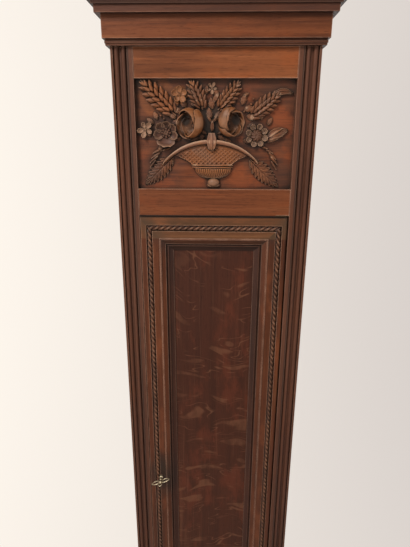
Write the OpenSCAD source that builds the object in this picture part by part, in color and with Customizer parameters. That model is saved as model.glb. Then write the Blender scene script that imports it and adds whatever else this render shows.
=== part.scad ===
// Regulator floor clock in carved oak, driven by one weight, with a seconds pendulum.
// The front faces -Y, +X is to the right of someone facing the clock, +Z is up.
// The floor is z = 0 and the origin is under the middle of the whole clock.

/* [Case heights] */
// Height of the plinth
plinth_h = 95; // [70:1:120]
// Height of the base, from the floor to the foot of the visible trunk
base_h = 400; // [360:1:450]
// Height of the trunk, up to the throat moulding
trunk_h = 1240; // [1200:1:1300]
// Height of the throat moulding between trunk and hood
throat_h = 95; // [90:1:110]
// Height of the hood
hood_h = 555; // [545:1:600]
// Height of the moulding on top of the base
base_mould_h = 34; // [28:1:44]
// Height of the cornice of the hood
cornice_h = 95; // [80:1:110]

/* [Case widths and depths] */
// Width of the trunk
trunk_w = 320; // [316:1:340]
// Depth of the trunk, from its front to the wall
trunk_d = 210; // [206:1:230]
// How far the base stands out from the trunk
base_out = 38; // [34:1:44]
// How far the hood stands out from the trunk
hood_out = 38; // [36:1:44]
// How far the plinth stands out from the base
plinth_out = 17; // [10:1:24]
// How far the cornice stands out from the hood
cornice_out = 36; // [28:1:44]

/* [Boards] */
// Thickness of the front frames
front_t = 20; // [18:1:22]
// Thickness of the side boards
side_t = 18; // [15:1:18]
// Thickness of the back board
back_t = 12; // [9:1:15]
// Width of the reeded stiles
stile_w = 34; // [33:1:38]
// Depth of the channel that the reeds stand in
reed_channel_d = 4.5; // [4:0.1:6]

/* [Front of the trunk] */
// Height of the top rail
top_rail_h = 44; // [36:1:52]
// Height of the carved panel
carved_h = 168; // [160:1:176]
// Height of the middle rail
mid_rail_h = 45; // [36:1:54]
// Visible height of the bottom rail
bottom_rail_h = 42; // [34:1:60]
// Depth of the carved panel's ground behind the front
carved_depth = 10; // [8:0.5:12]

/* [Doors] */
// Gap all round a closed door
door_gap = 1.2; // [1:0.1:2]
// Thickness of the trunk door
door_t = 22; // [20:1:24]
// Width of the trunk door's frame
door_frame_w = 41; // [41:1:45]
// Width of the flat band outside the rope moulding
rope_band_w = 9.5; // [8:0.5:10.5]
// How much wider that band is along the top of the trunk door
door_head_w = 5.4; // [4:0.2:7]
// Width of the groove that holds the rope moulding
rope_w = 10; // [8:0.5:10.5]
// Width of the flat band inside the rope moulding
inner_band_w = 12.5; // [10:0.5:14]
// How far the stepped moulding reaches inside the door's frame
panel_mould_in = 14; // [13:0.5:18]
// Depth of the door panel behind the door's front
door_panel_depth = 12; // [11:0.5:13]
// Thickness of the door panel
door_panel_t = 6; // [5:0.5:7]
// Height of the hood door
hood_door_h = 350; // [345:1:360]
// Width of the hood door's frame
hood_frame_w = 34; // [32:1:38]
// Thickness of the glass
glass_t = 3; // [2:0.5:4]
// Radius of the pins that the doors turn on
hinge_pin_r = 2; // [1.5:0.1:2.5]

/* [Lock and key] */
// Height of the keyhole above the floor
key_z = 845; // [780:1:900]
// Distance of the key's middle from the rope moulding
key_gap = 2.8; // [2.8:0.1:4]
// How far the bolt is thrown
bolt_throw = 10; // [7:0.5:10]
// Radius of the key's shank
key_shank_r = 2.2; // [1.8:0.1:2.5]
// How far the middle of the bow stands in front of the door
key_bow_out = 17; // [15:1:24]

/* [Dial and hands] */
// Width of the dial plate
dial_w = 276; // [270:1:280]
// Height of the dial plate
dial_h = 300; // [294:1:304]
// Outer radius of the chapter ring
chapter_r = 124; // [116:1:126]
// Width of the chapter ring
chapter_w = 32; // [28:1:34]
// Length of the minute hand
minute_hand_l = 108; // [96:1:116]
// Length of the hour hand
hour_hand_l = 76; // [64:1:84]

/* [Movement] */
// Gap between the two plates
plate_gap = 46; // [46:1:50]
// Thickness of the plates
plate_t = 3; // [2.5:0.1:4]
// Width of the plates
plate_w = 110; // [106:1:116]
// Distance from the weight's line to the trunk's front
weight_inset = 80; // [76:1:84]
// Turns of the barrel from run down to fully wound
winding_turns = 16; // [12:1:16]
// Radius at which the gut line wraps the barrel and the pulley
wrap_r = 20; // [19:0.5:20]
// Radius of the gut line
gut_r = 0.8; // [0.6:0.1:0.9]

/* [Pendulum and weight] */
// Length from the suspension to the middle of the bob
pendulum_l = 994; // [900:1:1010]
// Radius of the bob
bob_r = 75; // [60:1:80]
// Thickness of the bob
bob_t = 28; // [22:1:30]
// Radius of the pendulum rod
rod_r = 4; // [3:0.5:4.5]
// Length of the rod below the bob
rod_tail = 34; // [30:1:40]
// Radius of the weight
weight_r = 30; // [26:1:31]
// Height of the weight
weight_h = 180; // [140:1:190]

/* [Hidden] */
$fn = 48;

wall_y = (trunk_d + hood_out + cornice_out) / 2;
trunk_y = wall_y - trunk_d;
base_y = trunk_y - base_out;
hood_y = trunk_y - hood_out;
trunk_hw = trunk_w / 2;
base_hw = trunk_hw + base_out;
hood_hw = trunk_hw + hood_out;
inner_hw = trunk_hw - stile_w;
back_y = wall_y - back_t;

trunk_top = base_h + trunk_h;
hood_z = trunk_top + throat_h;
top_z = hood_z + hood_h;
carved_top = trunk_top - top_rail_h;
carved_bottom = carved_top - carved_h;
door_top = carved_bottom - mid_rail_h - door_gap;
door_bottom = base_h + bottom_rail_h + door_gap;
door_h = door_top - door_bottom;
door_w = 2 * (inner_hw - door_gap);
// The part of the trunk door that its rope, moulding and panel are laid out on
field_top = door_top - door_head_w;
field_h = field_top - door_bottom;
field_mid = (field_top + door_bottom) / 2;
base_top = base_h - base_mould_h;
floor_z = 40;
floor_t = 15;
base_stile_w = 48;
base_low_rail_h = 45;
base_high_rail_h = 50;
frame_low = plinth_h + base_low_rail_h;
frame_high = base_top - base_high_rail_h;
frame_half = base_hw - base_stile_w;

// The trunk's rails lie a little behind its stiles
rail_set_back = 1;
rail_y = trunk_y + rail_set_back;
rail_back = trunk_y + front_t;

// Seat of the stepped moulding on the door's frame
mould_inset = rope_band_w + rope_w + inner_band_w;
mould_seat_w = door_frame_w - mould_inset;
mould_seat_d = 6;

hood_rail_h = 30;
hood_rail_out = 4;
hood_door_z = hood_z + hood_rail_h + door_gap;
frieze_z = hood_door_z + hood_door_h + door_gap;
cornice_z = top_z - cornice_h;
roof_t = 12;
hood_inner = hood_hw - stile_w;
hood_door_w = 2 * (hood_inner - door_gap);
hood_door_t = 20;
glass_y = hood_y + 9;
glass_lap = 5;
knob_inset = 5;
knob_stem_r = 2;
knob_stem_l = 11;
sight_hw = hood_door_w / 2 - hood_frame_w;
sight_hh = hood_door_h / 2 - hood_frame_w;
dial_z = hood_door_z + hood_door_h / 2;

// Fits: play between pieces that only lie together, and in running bores
play = 0.3;
run_fit = 0.05;
hand_fit = 0.02;

// Toothed wheels: modules, teeth and the centre distances that follow
great_m = 0.8;
great_n = 96;
centre_m = 0.8;
centre_n = 64;
third_m = 0.75;
third_n = 60;
pinion_n = 8;
cannon_m = 0.75;
cannon_n = 12;
minute_n = 36;
hour_m = 0.72;
minute_pinion_n = 10;
hour_n = 40;
escape_n = 30;
escape_r = 20;
// Teeth stand out from the pitch circle, and their roots lie within it, by these shares of the module
tooth_out = 0.75;
tooth_in = 1.15;
// A pinion is turned by half a tooth, so that its gap meets the wheel's tooth
pinion_phase = 180 / pinion_n;
barrel_z = dial_z - great_m * (great_n + pinion_n) / 2;
third_z = dial_z + centre_m * (centre_n + pinion_n) / 2;
escape_z = third_z + third_m * (third_n + pinion_n) / 2;
pallet_rise = 27;
pallet_z = escape_z + pallet_rise;
minute_x = cannon_m * (cannon_n + minute_n) / 2;

weight_y = trunk_y + weight_inset;
front_in = weight_y - plate_gap / 2;
front_out = front_in - plate_t;
back_in = weight_y + plate_gap / 2;
back_out = back_in + plate_t;
cock_rise = 9;
cock_foot_h = 14;
plate_bottom = barrel_z - great_m * great_n / 2 - 4;
plate_top = pallet_z + cock_rise + cock_foot_h + 4;
dial_t = 2;
dial_gap = 26;
dial_y = front_out - dial_gap - dial_t;
ring_t = 1;
pillar_inset = 9;
foot_inset = 26;
pillar_x = plate_w / 2 - pillar_inset;
pillar_r = 5;
// Corners of the movement's plates, drawn in by an inset
function plate_spots(inset) = [for (x = [-pillar_x, pillar_x],
    z = [plate_bottom + inset, plate_top - inset]) [x, z]];
pillar_spots = plate_spots(pillar_inset);
foot_spots = plate_spots(foot_inset);
foot_r = 3;
dial_hole_play = 2;
seat_t = 20;
seat_z = plate_bottom - seat_t;
seat_front = front_out - 16;
seat_back = back_out + 6;

// Pivots are thinner than their arbors and turn in the plates
barrel_arbor_r = 3;
arbor_r = 2;
thin_arbor_r = 1.5;
pivot_r = 1;
stud_r = 1.5;
cannon_r = 2.5;
hour_pipe_r = 4;
end_shake = 0.4;

line_pitch = 2.2 * gut_r;
drum_r = wrap_r - gut_r - play;
drum_l = (winding_turns + 0.5) * line_pitch;
drum_y = weight_y - drum_l / 2;
flange_t = 1.5;
flange_r = drum_r + 3.5;
great_y = drum_y + drum_l + flange_t + play;
great_t = 3;
centre_y = front_in + 2;
wheel_t = 2;
third_y = weight_y - 2;
pallet_t = 2.5;
escape_y = great_y;

pendulum_y = back_out + 30;
crutch_y = back_out + 4;
crutch_t = 3;
crutch_l = 100;
fork_gap = 0.4;
fork_t = 2;
cock_y = crutch_y + crutch_t + 3;
cock_t = 3;
spring_l = 14;
chop_h = 6;
bob_z = pallet_z - pendulum_l;
rod_bottom = bob_z - bob_r - rod_tail;

// A line that falls on both sides of the pulley lowers the weight by half of what the barrel pays out
pulley_r = drum_r + 4;
pulley_high = seat_z - pulley_r - 13.5;
weight_travel = winding_turns * PI * wrap_r;
pulley_z = pulley_high - weight_travel;
pulley_w = 7;
axle_r = 2;
cheek_gap = pulley_w / 2 + 0.7;
cheek_t = 2;
block_drop = 34;
hook_l = 18;
weight_top = pulley_z - block_drop - hook_l;

seconds_ring_r = 25;
seconds_ring_w = 11;
minute_hand_y = dial_y - 9.5;
hour_hand_y = dial_y - 5.5;
second_hand_y = dial_y - 3;
hand_t = 1;
mask_t = 8;
mask_y = minute_hand_y - mask_t - 4.5;

key_x = -door_w / 2 + rope_band_w + rope_w + key_gap;
key_tilt = 21;
lock_inset = 9.5;
lock_front = trunk_y + lock_inset;
lock_t = door_t + 1 - lock_inset;
lock_h = 50;
lock_w = door_frame_w - 1;
bolt_t = 5;
bolt_h = 12;
bolt_play = 0.4;
bolt_y = lock_front + 2.5;
bit_y = bolt_y + bolt_t + 0.7;
bit_t = 2.5;
bit_r = 8.5;

pivot_inset = 5;
plate_l = 16;
plate_d = 9;
pivot_plate_t = 2;
pin_l = 8;

// Route of the line: turns left on the barrel, down, round the pulley, and up to a knot on the seat board
turns_left = 2;
turn_steps = 20;
fall_steps = 6;
knot_z = seat_z + seat_t + 3;
function on_circle(z, angle, y) = [wrap_r * cos(angle), y, z + wrap_r * sin(angle)];
gut_route = concat(
    [for (i = [0:turns_left * turn_steps]) let (t = turns_left - i / turn_steps)
        on_circle(barrel_z, 180 - 360 * t, weight_y + line_pitch * t)],
    [for (i = [1:fall_steps - 1]) [-wrap_r, weight_y, barrel_z + (pulley_z - barrel_z) * i / fall_steps]],
    [for (i = [0:turn_steps / 2]) on_circle(pulley_z, 180 + 360 * i / turn_steps, weight_y)],
    [for (i = [1:fall_steps]) [wrap_r, weight_y, pulley_z + (knot_z - pulley_z) * i / fall_steps]]);

// The carved panel's relief is laid out on a drawing of this width and height
relief_grid = [252, 168];

oak = "#6b4630";
dark_oak = "#4f3326";
plain_wood = "#8a6b4c";
brass = "#b8964f";
steel = "#8c8f94";

// A box from its lowest to its highest corner
module block(low, high) {
    translate(low) cube(high - low);
}

// A round bar along Y
module bar_y(x, z, r, y0, y1) {
    translate([x, y0, z]) rotate([-90, 0, 0]) cylinder(r = r, h = y1 - y0);
}

// A flat outline in X and Z, given a thickness from y0 back to y1
module sheet_y(y0, y1) {
    translate([0, y1, 0]) rotate([90, 0, 0]) linear_extrude(y1 - y0) children();
}

// A flat strip between two points
module strip(from, to, width) {
    run = to - from;
    translate(from) rotate(atan2(run[1], run[0]))
        translate([0, -width / 2]) square([norm(run), width]);
}

// Copies at x and at -x
module both_sides() {
    children();
    mirror([1, 0, 0]) children();
}

// A moulding round the front and both sides of a box against the wall
// Its section has x outward and y upward, and its corners are mitred
module around_case(half_w, face_y, reach, tall) {
    long = 2 * (half_w + reach) + 2;
    apex = [0, face_y + half_w];
    corner = [half_w + reach + 1, face_y - reach - 1];
    intersection() {
        translate([0, face_y, 0]) rotate([90, 0, -90]) linear_extrude(long, center = true) children();
        translate([0, 0, -1]) linear_extrude(tall + 2)
            polygon([apex, [-corner[0], corner[1]], corner]);
    }
    both_sides() intersection() {
        translate([half_w, wall_y, 0]) rotate([90, 0, 0]) linear_extrude(wall_y - corner[1]) children();
        translate([0, 0, -1]) linear_extrude(tall + 2)
            polygon([apex, corner, [corner[0], wall_y], [0, wall_y]]);
    }
}

// One side of a mitred picture frame: the section has x inward and y towards the viewer
module frame_side(half, long, reach) {
    intersection() {
        translate([-half, 0, -long / 2]) mirror([0, 1, 0]) linear_extrude(long) children();
        sheet_y(-60, 60) polygon([[-half - 1, -long / 2 - 1], [-half + reach, -long / 2 + reach],
            [-half + reach, long / 2 - reach], [-half - 1, long / 2 + 1]]);
    }
}

module picture_frame(w, h, reach) {
    both_sides() frame_side(w / 2, h, reach) children();
    for (turn = [90, -90]) rotate([0, turn, 0]) frame_side(h / 2, w, reach) children();
}

// Section of the rope moulding, laid in its groove
module rope_section() {
    intersection() {
        circle(rope_w / 2 - 0.2);
        translate([-rope_w, 0]) square([2 * rope_w, rope_w]);
    }
}

// The groove is half as deep as it is wide
module rope_groove(w, h) {
    picture_frame(w - 2 * rope_band_w, h - 2 * rope_band_w, rope_w)
        translate([0, -rope_w / 2]) square([rope_w, rope_w / 2 + 1]);
}

module rope_ring(w, h) {
    color(dark_oak) picture_frame(w - 2 * rope_band_w, h - 2 * rope_band_w, rope_w)
        translate([rope_w / 2, -rope_w / 2]) rope_section();
}

// Plan of a reeded stile: x runs in from the outer edge, y runs back from the front
module reeded_plan(w, t) {
    fillet = 3.5;
    inner_fillet = 25.3;
    reeds = [[8.6, 3.9], [19.5, 3.1]];
    difference() {
        square([w, t]);
        translate([fillet, -1]) square([inner_fillet - fillet, reed_channel_d + 1]);
    }
    for (reed = reeds) {
        translate([reed[0], reed[1]]) circle(reed[1]);
        translate([reed[0] - reed[1], reed[1]]) square([2 * reed[1], reed_channel_d]);
    }
}

// Plinth, base and trunk

module plinth() {
    ledge = 3;
    cove_r = plinth_out - 5;
    foot = plinth_h - cove_r - 6;
    color(oak) around_case(base_hw, base_y, plinth_out, plinth_h) difference() {
        union() {
            square([plinth_out, foot]);
            translate([0, foot]) square([plinth_out - ledge, plinth_h - foot]);
        }
        translate([plinth_out, plinth_h]) circle(cove_r);
    }
}

module base_sides() {
    color(oak) both_sides()
        block([base_hw - side_t, base_y + front_t, 0], [base_hw, wall_y, base_top]);
}

module base_frame() {
    color(oak) difference() {
        block([-base_hw, base_y, 0], [base_hw, base_y + front_t, base_top]);
        block([-frame_half, base_y - 1, frame_low], [frame_half, base_y + front_t + 1, frame_high]);
    }
}

module base_panel() {
    margin = 26;
    field_y = base_y + 5;
    panel_y = base_y + 9;
    panel_t = 7;
    color(oak) {
        block([-frame_half, panel_y, frame_low], [frame_half, panel_y + panel_t, frame_high]);
        block([-frame_half + margin, field_y, frame_low + margin],
            [frame_half - margin, panel_y + 1, frame_high - margin]);
    }
}

module base_floor() {
    color(plain_wood) block([-base_hw + side_t, base_y + front_t, floor_z],
        [base_hw - side_t, back_y, floor_z + floor_t]);
}

module base_moulding() {
    reach = base_out + 6;
    edge_h = 7;
    quirk = 1.5;
    color(oak) translate([0, 0, base_top]) around_case(trunk_hw, trunk_y, reach, base_mould_h)
        difference() {
            square([reach, base_mould_h]);
            translate([reach, base_mould_h]) circle(base_mould_h - edge_h);
            translate([reach - quirk, edge_h]) square([quirk + 1, base_mould_h]);
        }
}

module trunk_sides() {
    color(plain_wood) both_sides() {
        block([trunk_hw - side_t, trunk_y + front_t, floor_z + floor_t], [trunk_hw, back_y, hood_z]);
        block([trunk_hw - side_t, seat_front, hood_z - 1], [trunk_hw, back_y, seat_z]);
    }
}

module back_board() {
    foot_gap = 20;
    clear = 1;
    color(plain_wood) {
        block([-base_hw + side_t, back_y, foot_gap], [base_hw - side_t, wall_y, base_top]);
        block([-trunk_hw, back_y, base_top - 1], [trunk_hw, wall_y, hood_z + clear + 1]);
        block([-hood_hw + side_t + clear, back_y, hood_z + clear],
            [hood_hw - side_t - clear, wall_y, top_z - roof_t - clear]);
    }
}

module trunk_stiles() {
    color(dark_oak) difference() {
        both_sides() translate([trunk_hw, trunk_y, floor_z + floor_t])
            linear_extrude(trunk_top - floor_z - floor_t) mirror([1, 0]) reeded_plan(stile_w, front_t);
        block([-inner_hw - bolt_throw - 1.5, bolt_y - bolt_play, key_z - bolt_h / 2 - bolt_play],
            [-inner_hw + 1, bolt_y + bolt_t + bolt_play, key_z + bolt_h / 2 + bolt_play]);
    }
}

module trunk_top_rail() {
    color(oak) block([-inner_hw, rail_y, carved_top], [inner_hw, rail_back, trunk_top]);
}

module trunk_middle_rail() {
    color(oak) difference() {
        block([-inner_hw, rail_y, carved_bottom - mid_rail_h], [inner_hw, rail_back, carved_bottom]);
        pivot_seat(inner_hw, trunk_y, carved_bottom - mid_rail_h, 1);
    }
}

module trunk_bottom_rail() {
    color(oak) difference() {
        block([-inner_hw, rail_y, base_top], [inner_hw, rail_back, base_h + bottom_rail_h]);
        pivot_seat(inner_hw, trunk_y, base_h + bottom_rail_h, -1);
    }
}

module throat_moulding() {
    lip = 5.4;
    lip_h = 9;
    bead = 3;
    frieze = 9.3;
    frieze_top = 41;
    fascia = 17;
    fascia_top = 48.5;
    top = hood_out + 7;
    cove_r = 24;
    color(oak) translate([0, 0, trunk_top]) {
        around_case(trunk_hw, trunk_y, top, throat_h) difference() {
            union() {
                square([lip, lip_h]);
                translate([0, bead]) square([lip + 1, bead]);
                translate([0, lip_h]) square([frieze, frieze_top - lip_h]);
                translate([0, frieze_top]) square([fascia, throat_h - frieze_top]);
                translate([0, fascia_top + bead]) square([top, throat_h - fascia_top - bead]);
            }
            translate([top - 1, fascia_top + bead]) circle(cove_r);
        }
        block([-trunk_hw, trunk_y - 1, 0], [trunk_hw, trunk_y + front_t, throat_h]);
    }
}

module seat_board() {
    color(plain_wood) difference() {
        block([-trunk_hw, seat_front, seat_z], [trunk_hw, seat_back, seat_z + seat_t]);
        for (hole = [[-wrap_r, gut_r + 4], [wrap_r, gut_r + 1.2]])
            translate([hole[0], weight_y, seat_z - 1]) cylinder(r = hole[1], h = seat_t + 2);
    }
}

// Door pivots: a let-in plate with a pin, and the hole that the pin turns in
module pivot_plate(half, face_y, low, high) {
    block([half - door_gap - pivot_inset - plate_l, face_y + pivot_inset - plate_d / 2, low],
        [half - 1, face_y + pivot_inset + plate_d / 2, high]);
}

module pivot_seat(half, face_y, z, up) {
    if (up > 0) pivot_plate(half, face_y, z - 1, z + pivot_plate_t);
    else pivot_plate(half, face_y, z - pivot_plate_t, z + 1);
}

module pivot_pin(half, face_y, z, up) {
    collar_h = door_gap - 0.1;
    pivot_plate(half, face_y, up > 0 ? z : z - pivot_plate_t, up > 0 ? z + pivot_plate_t : z);
    translate([half - door_gap - pivot_inset, face_y + pivot_inset, 0]) {
        translate([0, 0, up > 0 ? z - collar_h : z]) cylinder(r = hinge_pin_r + 2, h = collar_h);
        translate([0, 0, up > 0 ? z - door_gap - pin_l : z])
            cylinder(r = hinge_pin_r, h = pin_l + door_gap);
    }
}

module pivot_holes(half, face_y, z_low, z_high) {
    edge = half - door_gap - pivot_inset;
    for (z = [z_low - 1, z_high - pin_l - 1])
        translate([edge, face_y + pivot_inset, z]) cylinder(r = hinge_pin_r + run_fit, h = pin_l + 2);
}

module trunk_door_pivots() {
    color(brass) {
        pivot_pin(inner_hw, trunk_y, carved_bottom - mid_rail_h, 1);
        pivot_pin(inner_hw, trunk_y, base_h + bottom_rail_h, -1);
    }
}

// The hinge edge of a door is rounded about its pivot, so that it clears the stile
module door_plan(half, t) {
    r = pivot_inset;
    difference() {
        translate([-half, 0]) square([2 * half, t]);
        translate([half - r, -1]) square([r + 1, r + 1]);
    }
    translate([half - r, r]) circle(r);
}

// Trunk door

module door_frame() {
    half = door_w / 2;
    open_half = half - door_frame_w;
    low = door_bottom + door_frame_w;
    high = field_top - door_frame_w;
    color(oak) difference() {
        translate([0, trunk_y, door_bottom]) linear_extrude(door_h) door_plan(half, door_t);
        block([-open_half, trunk_y - 1, low], [open_half, trunk_y + door_t + 1, high]);
        block([-half + mould_inset, trunk_y - 1, door_bottom + mould_inset],
            [half - mould_inset, trunk_y + mould_seat_d, field_top - mould_inset]);
        translate([0, trunk_y, field_mid]) rope_groove(door_w, field_h);
        pivot_holes(inner_hw, trunk_y, door_bottom, door_top);
        block([-half - 1, lock_front, key_z - lock_h / 2],
            [-half + lock_w, trunk_y + door_t + 1, key_z + lock_h / 2]);
        bar_y(key_x, key_z, key_shank_r + play, trunk_y - 1, lock_front + 1);
    }
}

module door_rope_moulding() {
    translate([0, trunk_y, field_mid]) rope_ring(door_w, field_h);
}

// Section of the stepped moulding: x runs inward, y towards the viewer, 0 is the door's front
module panel_mould_section() {
    lip = [2.5, 1.5];
    slope_low = -2;
    channel_low = -6.5;
    bead = [mould_seat_w + 5, -6];
    bead_r = 1.6;
    edge_rise = 1.5;
    edge = mould_seat_w + panel_mould_in;
    translate([0, -mould_seat_d]) square([lip[0], mould_seat_d + lip[1]]);
    slope_from = lip - [0.5, 0.5];
    slope_to = mould_seat_w + 0.5;
    wall = mould_seat_w + 1;
    polygon([slope_from, [slope_from[0], -mould_seat_d], [slope_to, -mould_seat_d], [slope_to, slope_low]]);
    polygon([[mould_seat_w, slope_low], [mould_seat_w, -door_panel_depth], [edge, -door_panel_depth],
        [edge, edge_rise - door_panel_depth], [bead[0], channel_low], [wall, channel_low],
        [wall, slope_low]]);
    translate(bead) circle(bead_r);
}

module door_panel_moulding() {
    color(oak) translate([0, trunk_y, field_mid])
        picture_frame(door_w - 2 * mould_inset, field_h - 2 * mould_inset, mould_seat_w + panel_mould_in + 1)
            panel_mould_section();
}

module door_panel() {
    half = door_w / 2 - door_frame_w;
    color(dark_oak) block([-half, trunk_y + door_panel_depth, door_bottom + door_frame_w],
        [half, trunk_y + door_panel_depth + door_panel_t, field_top - door_frame_w]);
}

// Lock: the key's bit turns behind the bolt, which slides past the shank in a slot
module lock_case() {
    left = -door_w / 2;
    case_wall = 1.5;
    channel_hh = bolt_h / 2 + bolt_play;
    color(brass) difference() {
        block([left, lock_front, key_z - lock_h / 2],
            [left + lock_w, lock_front + lock_t, key_z + lock_h / 2]);
        block([left - 1, bolt_y - bolt_play, key_z - channel_hh],
            [left + lock_w - case_wall, bolt_y + bolt_t + bolt_play, key_z + channel_hh]);
        bar_y(key_x, key_z, bit_r + 1, bolt_y, bit_y + bit_t + 0.5);
        bar_y(key_x, key_z, key_shank_r + run_fit, lock_front - 1, lock_front + lock_t + 1);
    }
}

module lock_bolt() {
    left = -door_w / 2;
    tail_room = 2.5;
    slot_r = key_shank_r + 0.5;
    slot_back = bolt_y + bolt_t + 1;
    color(steel) difference() {
        block([left, bolt_y, key_z - bolt_h / 2],
            [left + lock_w - tail_room, bolt_y + bolt_t, key_z + bolt_h / 2]);
        for (x = [key_x, key_x + bolt_throw]) bar_y(x, key_z, slot_r, bolt_y - 1, slot_back);
        block([key_x, bolt_y - 1, key_z - slot_r], [key_x + bolt_throw, slot_back, key_z + slot_r]);
    }
}

module door_key() {
    bow_y = trunk_y - key_bow_out;
    bow_t = 3;
    lobe = 5;
    ring = 2.4;
    reach = 14;
    spots = [[-reach, 0], [reach, 0], [0, -reach / 2]];
    bar_hw = 1.4;
    bar_hh = 1.6;
    collar = [trunk_y - 7, trunk_y - 4.5];
    color("#c9b48a") {
        bar_y(key_x, key_z, key_shank_r, bow_y, lock_front + lock_t + 1.5);
        bar_y(key_x, key_z, key_shank_r + 1.6, collar[0], collar[1]);
        translate([key_x, 0, key_z]) rotate([0, 90, 0])
            block([-key_shank_r - 0.4, bit_y, -1.2], [bit_r, bit_y + bit_t, 1.2]);
        translate([key_x, bow_y, key_z]) rotate([0, -key_tilt, 0]) {
            for (spot = spots) translate([spot[0], spot[1], 0]) difference() {
                cylinder(r = lobe, h = bow_t, center = true);
                cylinder(r = ring, h = bow_t + 1, center = true);
            }
            block([ring + 1 - reach, -bar_hh, -bar_hw], [reach - ring - 1, bar_hh, bar_hw]);
            block([-bar_hh, -4, -bar_hw], [bar_hh, 0, bar_hw]);
        }
    }
}

// Hood

module hood_base_rail() {
    color(oak) difference() {
        translate([0, 0, hood_z]) around_case(hood_hw, hood_y, hood_rail_out, hood_rail_h) difference() {
            translate([-side_t, 0]) square([side_t + hood_rail_out, hood_rail_h]);
            translate([hood_rail_out, hood_rail_h]) circle(hood_rail_out);
        }
        pivot_seat(hood_inner, hood_y, hood_z + hood_rail_h, -1);
    }
}

module hood_sides() {
    color(oak) both_sides() block([hood_hw - side_t, hood_y + front_t, hood_z + hood_rail_h],
        [hood_hw, wall_y, top_z - roof_t]);
}

module hood_stiles() {
    low = hood_z + hood_rail_h;
    color(dark_oak) both_sides() translate([hood_hw, hood_y, low])
        linear_extrude(frieze_z - low) mirror([1, 0]) reeded_plan(stile_w, front_t);
}

module hood_frieze() {
    color(oak) difference() {
        block([-hood_hw, hood_y, frieze_z], [hood_hw, hood_y + front_t, top_z - roof_t]);
        pivot_seat(hood_inner, hood_y, frieze_z, 1);
    }
}

module hood_cornice() {
    foot = 8;
    frieze_h = 30;
    crown_h = 22;
    step = 6;
    color(oak) translate([0, 0, cornice_z]) around_case(hood_hw, hood_y, cornice_out, cornice_h)
        difference() {
            union() {
                square([step, cornice_h]);
                translate([0, foot]) square([1.5 * step, cornice_h - foot]);
                translate([0, frieze_h]) square([cornice_out - step, cornice_h - frieze_h]);
                translate([0, cornice_h - crown_h]) square([cornice_out, crown_h]);
            }
            translate([cornice_out - step, frieze_h]) circle(cornice_out - 3 * step);
        }
}

module hood_roof() {
    color(plain_wood) block([-hood_hw, hood_y, top_z - roof_t], [hood_hw, wall_y, top_z]);
}

module dial_mask() {
    color(dark_oak) difference() {
        block([-hood_hw + side_t, mask_y, hood_z + 2], [hood_hw - side_t, mask_y + mask_t, frieze_z + 30]);
        block([-sight_hw, mask_y - 1, dial_z - sight_hh],
            [sight_hw, mask_y + mask_t + 1, dial_z + sight_hh]);
    }
}

module hood_door_pivots() {
    color(brass) {
        pivot_pin(hood_inner, hood_y, frieze_z, 1);
        pivot_pin(hood_inner, hood_y, hood_z + hood_rail_h, -1);
    }
}

module hood_door_frame() {
    half = hood_door_w / 2;
    color(oak) difference() {
        translate([0, hood_y, hood_door_z]) linear_extrude(hood_door_h) door_plan(half, hood_door_t);
        block([-sight_hw, hood_y - 1, dial_z - sight_hh],
            [sight_hw, hood_y + hood_door_t + 1, dial_z + sight_hh]);
        block([-sight_hw - glass_lap, glass_y, dial_z - sight_hh - glass_lap],
            [sight_hw + glass_lap, hood_y + hood_door_t + 1, dial_z + sight_hh + glass_lap]);
        translate([0, hood_y, dial_z]) rope_groove(hood_door_w, hood_door_h);
        pivot_holes(hood_inner, hood_y, hood_door_z, hood_door_z + hood_door_h);
        bar_y(-half + knob_inset, dial_z, knob_stem_r + run_fit, hood_y - 1, hood_y + knob_stem_l + 1);
    }
}

module hood_rope_moulding() {
    translate([0, hood_y, dial_z]) rope_ring(hood_door_w, hood_door_h);
}

module hood_door_glass() {
    fit = glass_lap - play;
    color([0.8, 0.9, 0.9, 0.35]) block([-sight_hw - fit, glass_y, dial_z - sight_hh - fit],
        [sight_hw + fit, glass_y + glass_t, dial_z + sight_hh + fit]);
}

module hood_door_knob() {
    color(brass) translate([-hood_door_w / 2 + knob_inset, hood_y, dial_z]) rotate([90, 0, 0]) {
        translate([0, 0, -knob_stem_l]) cylinder(r = knob_stem_r, h = knob_stem_l + 1);
        cylinder(r = knob_inset - 0.5, h = 2);
        cylinder(r = 2.6, h = 10);
        translate([0, 0, 12]) sphere(6);
    }
}

// Dial

module dial_plate() {
    color(brass) {
        difference() {
            block([-dial_w / 2, dial_y, dial_z - dial_h / 2],
                [dial_w / 2, dial_y + dial_t, dial_z + dial_h / 2]);
            for (hole = [[dial_z, hour_pipe_r], [escape_z, pivot_r], [barrel_z, barrel_arbor_r + 1]])
                bar_y(0, hole[0], hole[1] + dial_hole_play, dial_y - 1, dial_y + dial_t + 1);
        }
        for (spot = foot_spots) bar_y(spot[0], spot[1], foot_r, dial_y + dial_t - 0.5, front_out);
    }
}

module dial_rings() {
    color("#d9d6cc") sheet_y(dial_y - ring_t, dial_y) {
        translate([0, dial_z]) difference() {
            circle(chapter_r, $fn = 96);
            circle(chapter_r - chapter_w, $fn = 96);
        }
        translate([0, escape_z]) difference() {
            circle(seconds_ring_r);
            circle(seconds_ring_r - seconds_ring_w);
        }
    }
}

module hand_outline(long, root, tip, boss, bore) {
    difference() {
        union() {
            circle(boss);
            polygon([[root / 2, 0], [tip / 2, long - 4], [0, long], [-tip / 2, long - 4], [-root / 2, 0]]);
            children();
        }
        circle(bore);
    }
}

module minute_hand() {
    tail = 30;
    color("#1f2430") sheet_y(minute_hand_y, minute_hand_y + hand_t) translate([0, dial_z])
        hand_outline(minute_hand_l, 5, 2, 6, cannon_r + hand_fit) {
            polygon([[-2, 0], [-3.5, -tail], [3.5, -tail], [2, 0]]);
            translate([0, -tail]) circle(5.5);
        }
}

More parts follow.
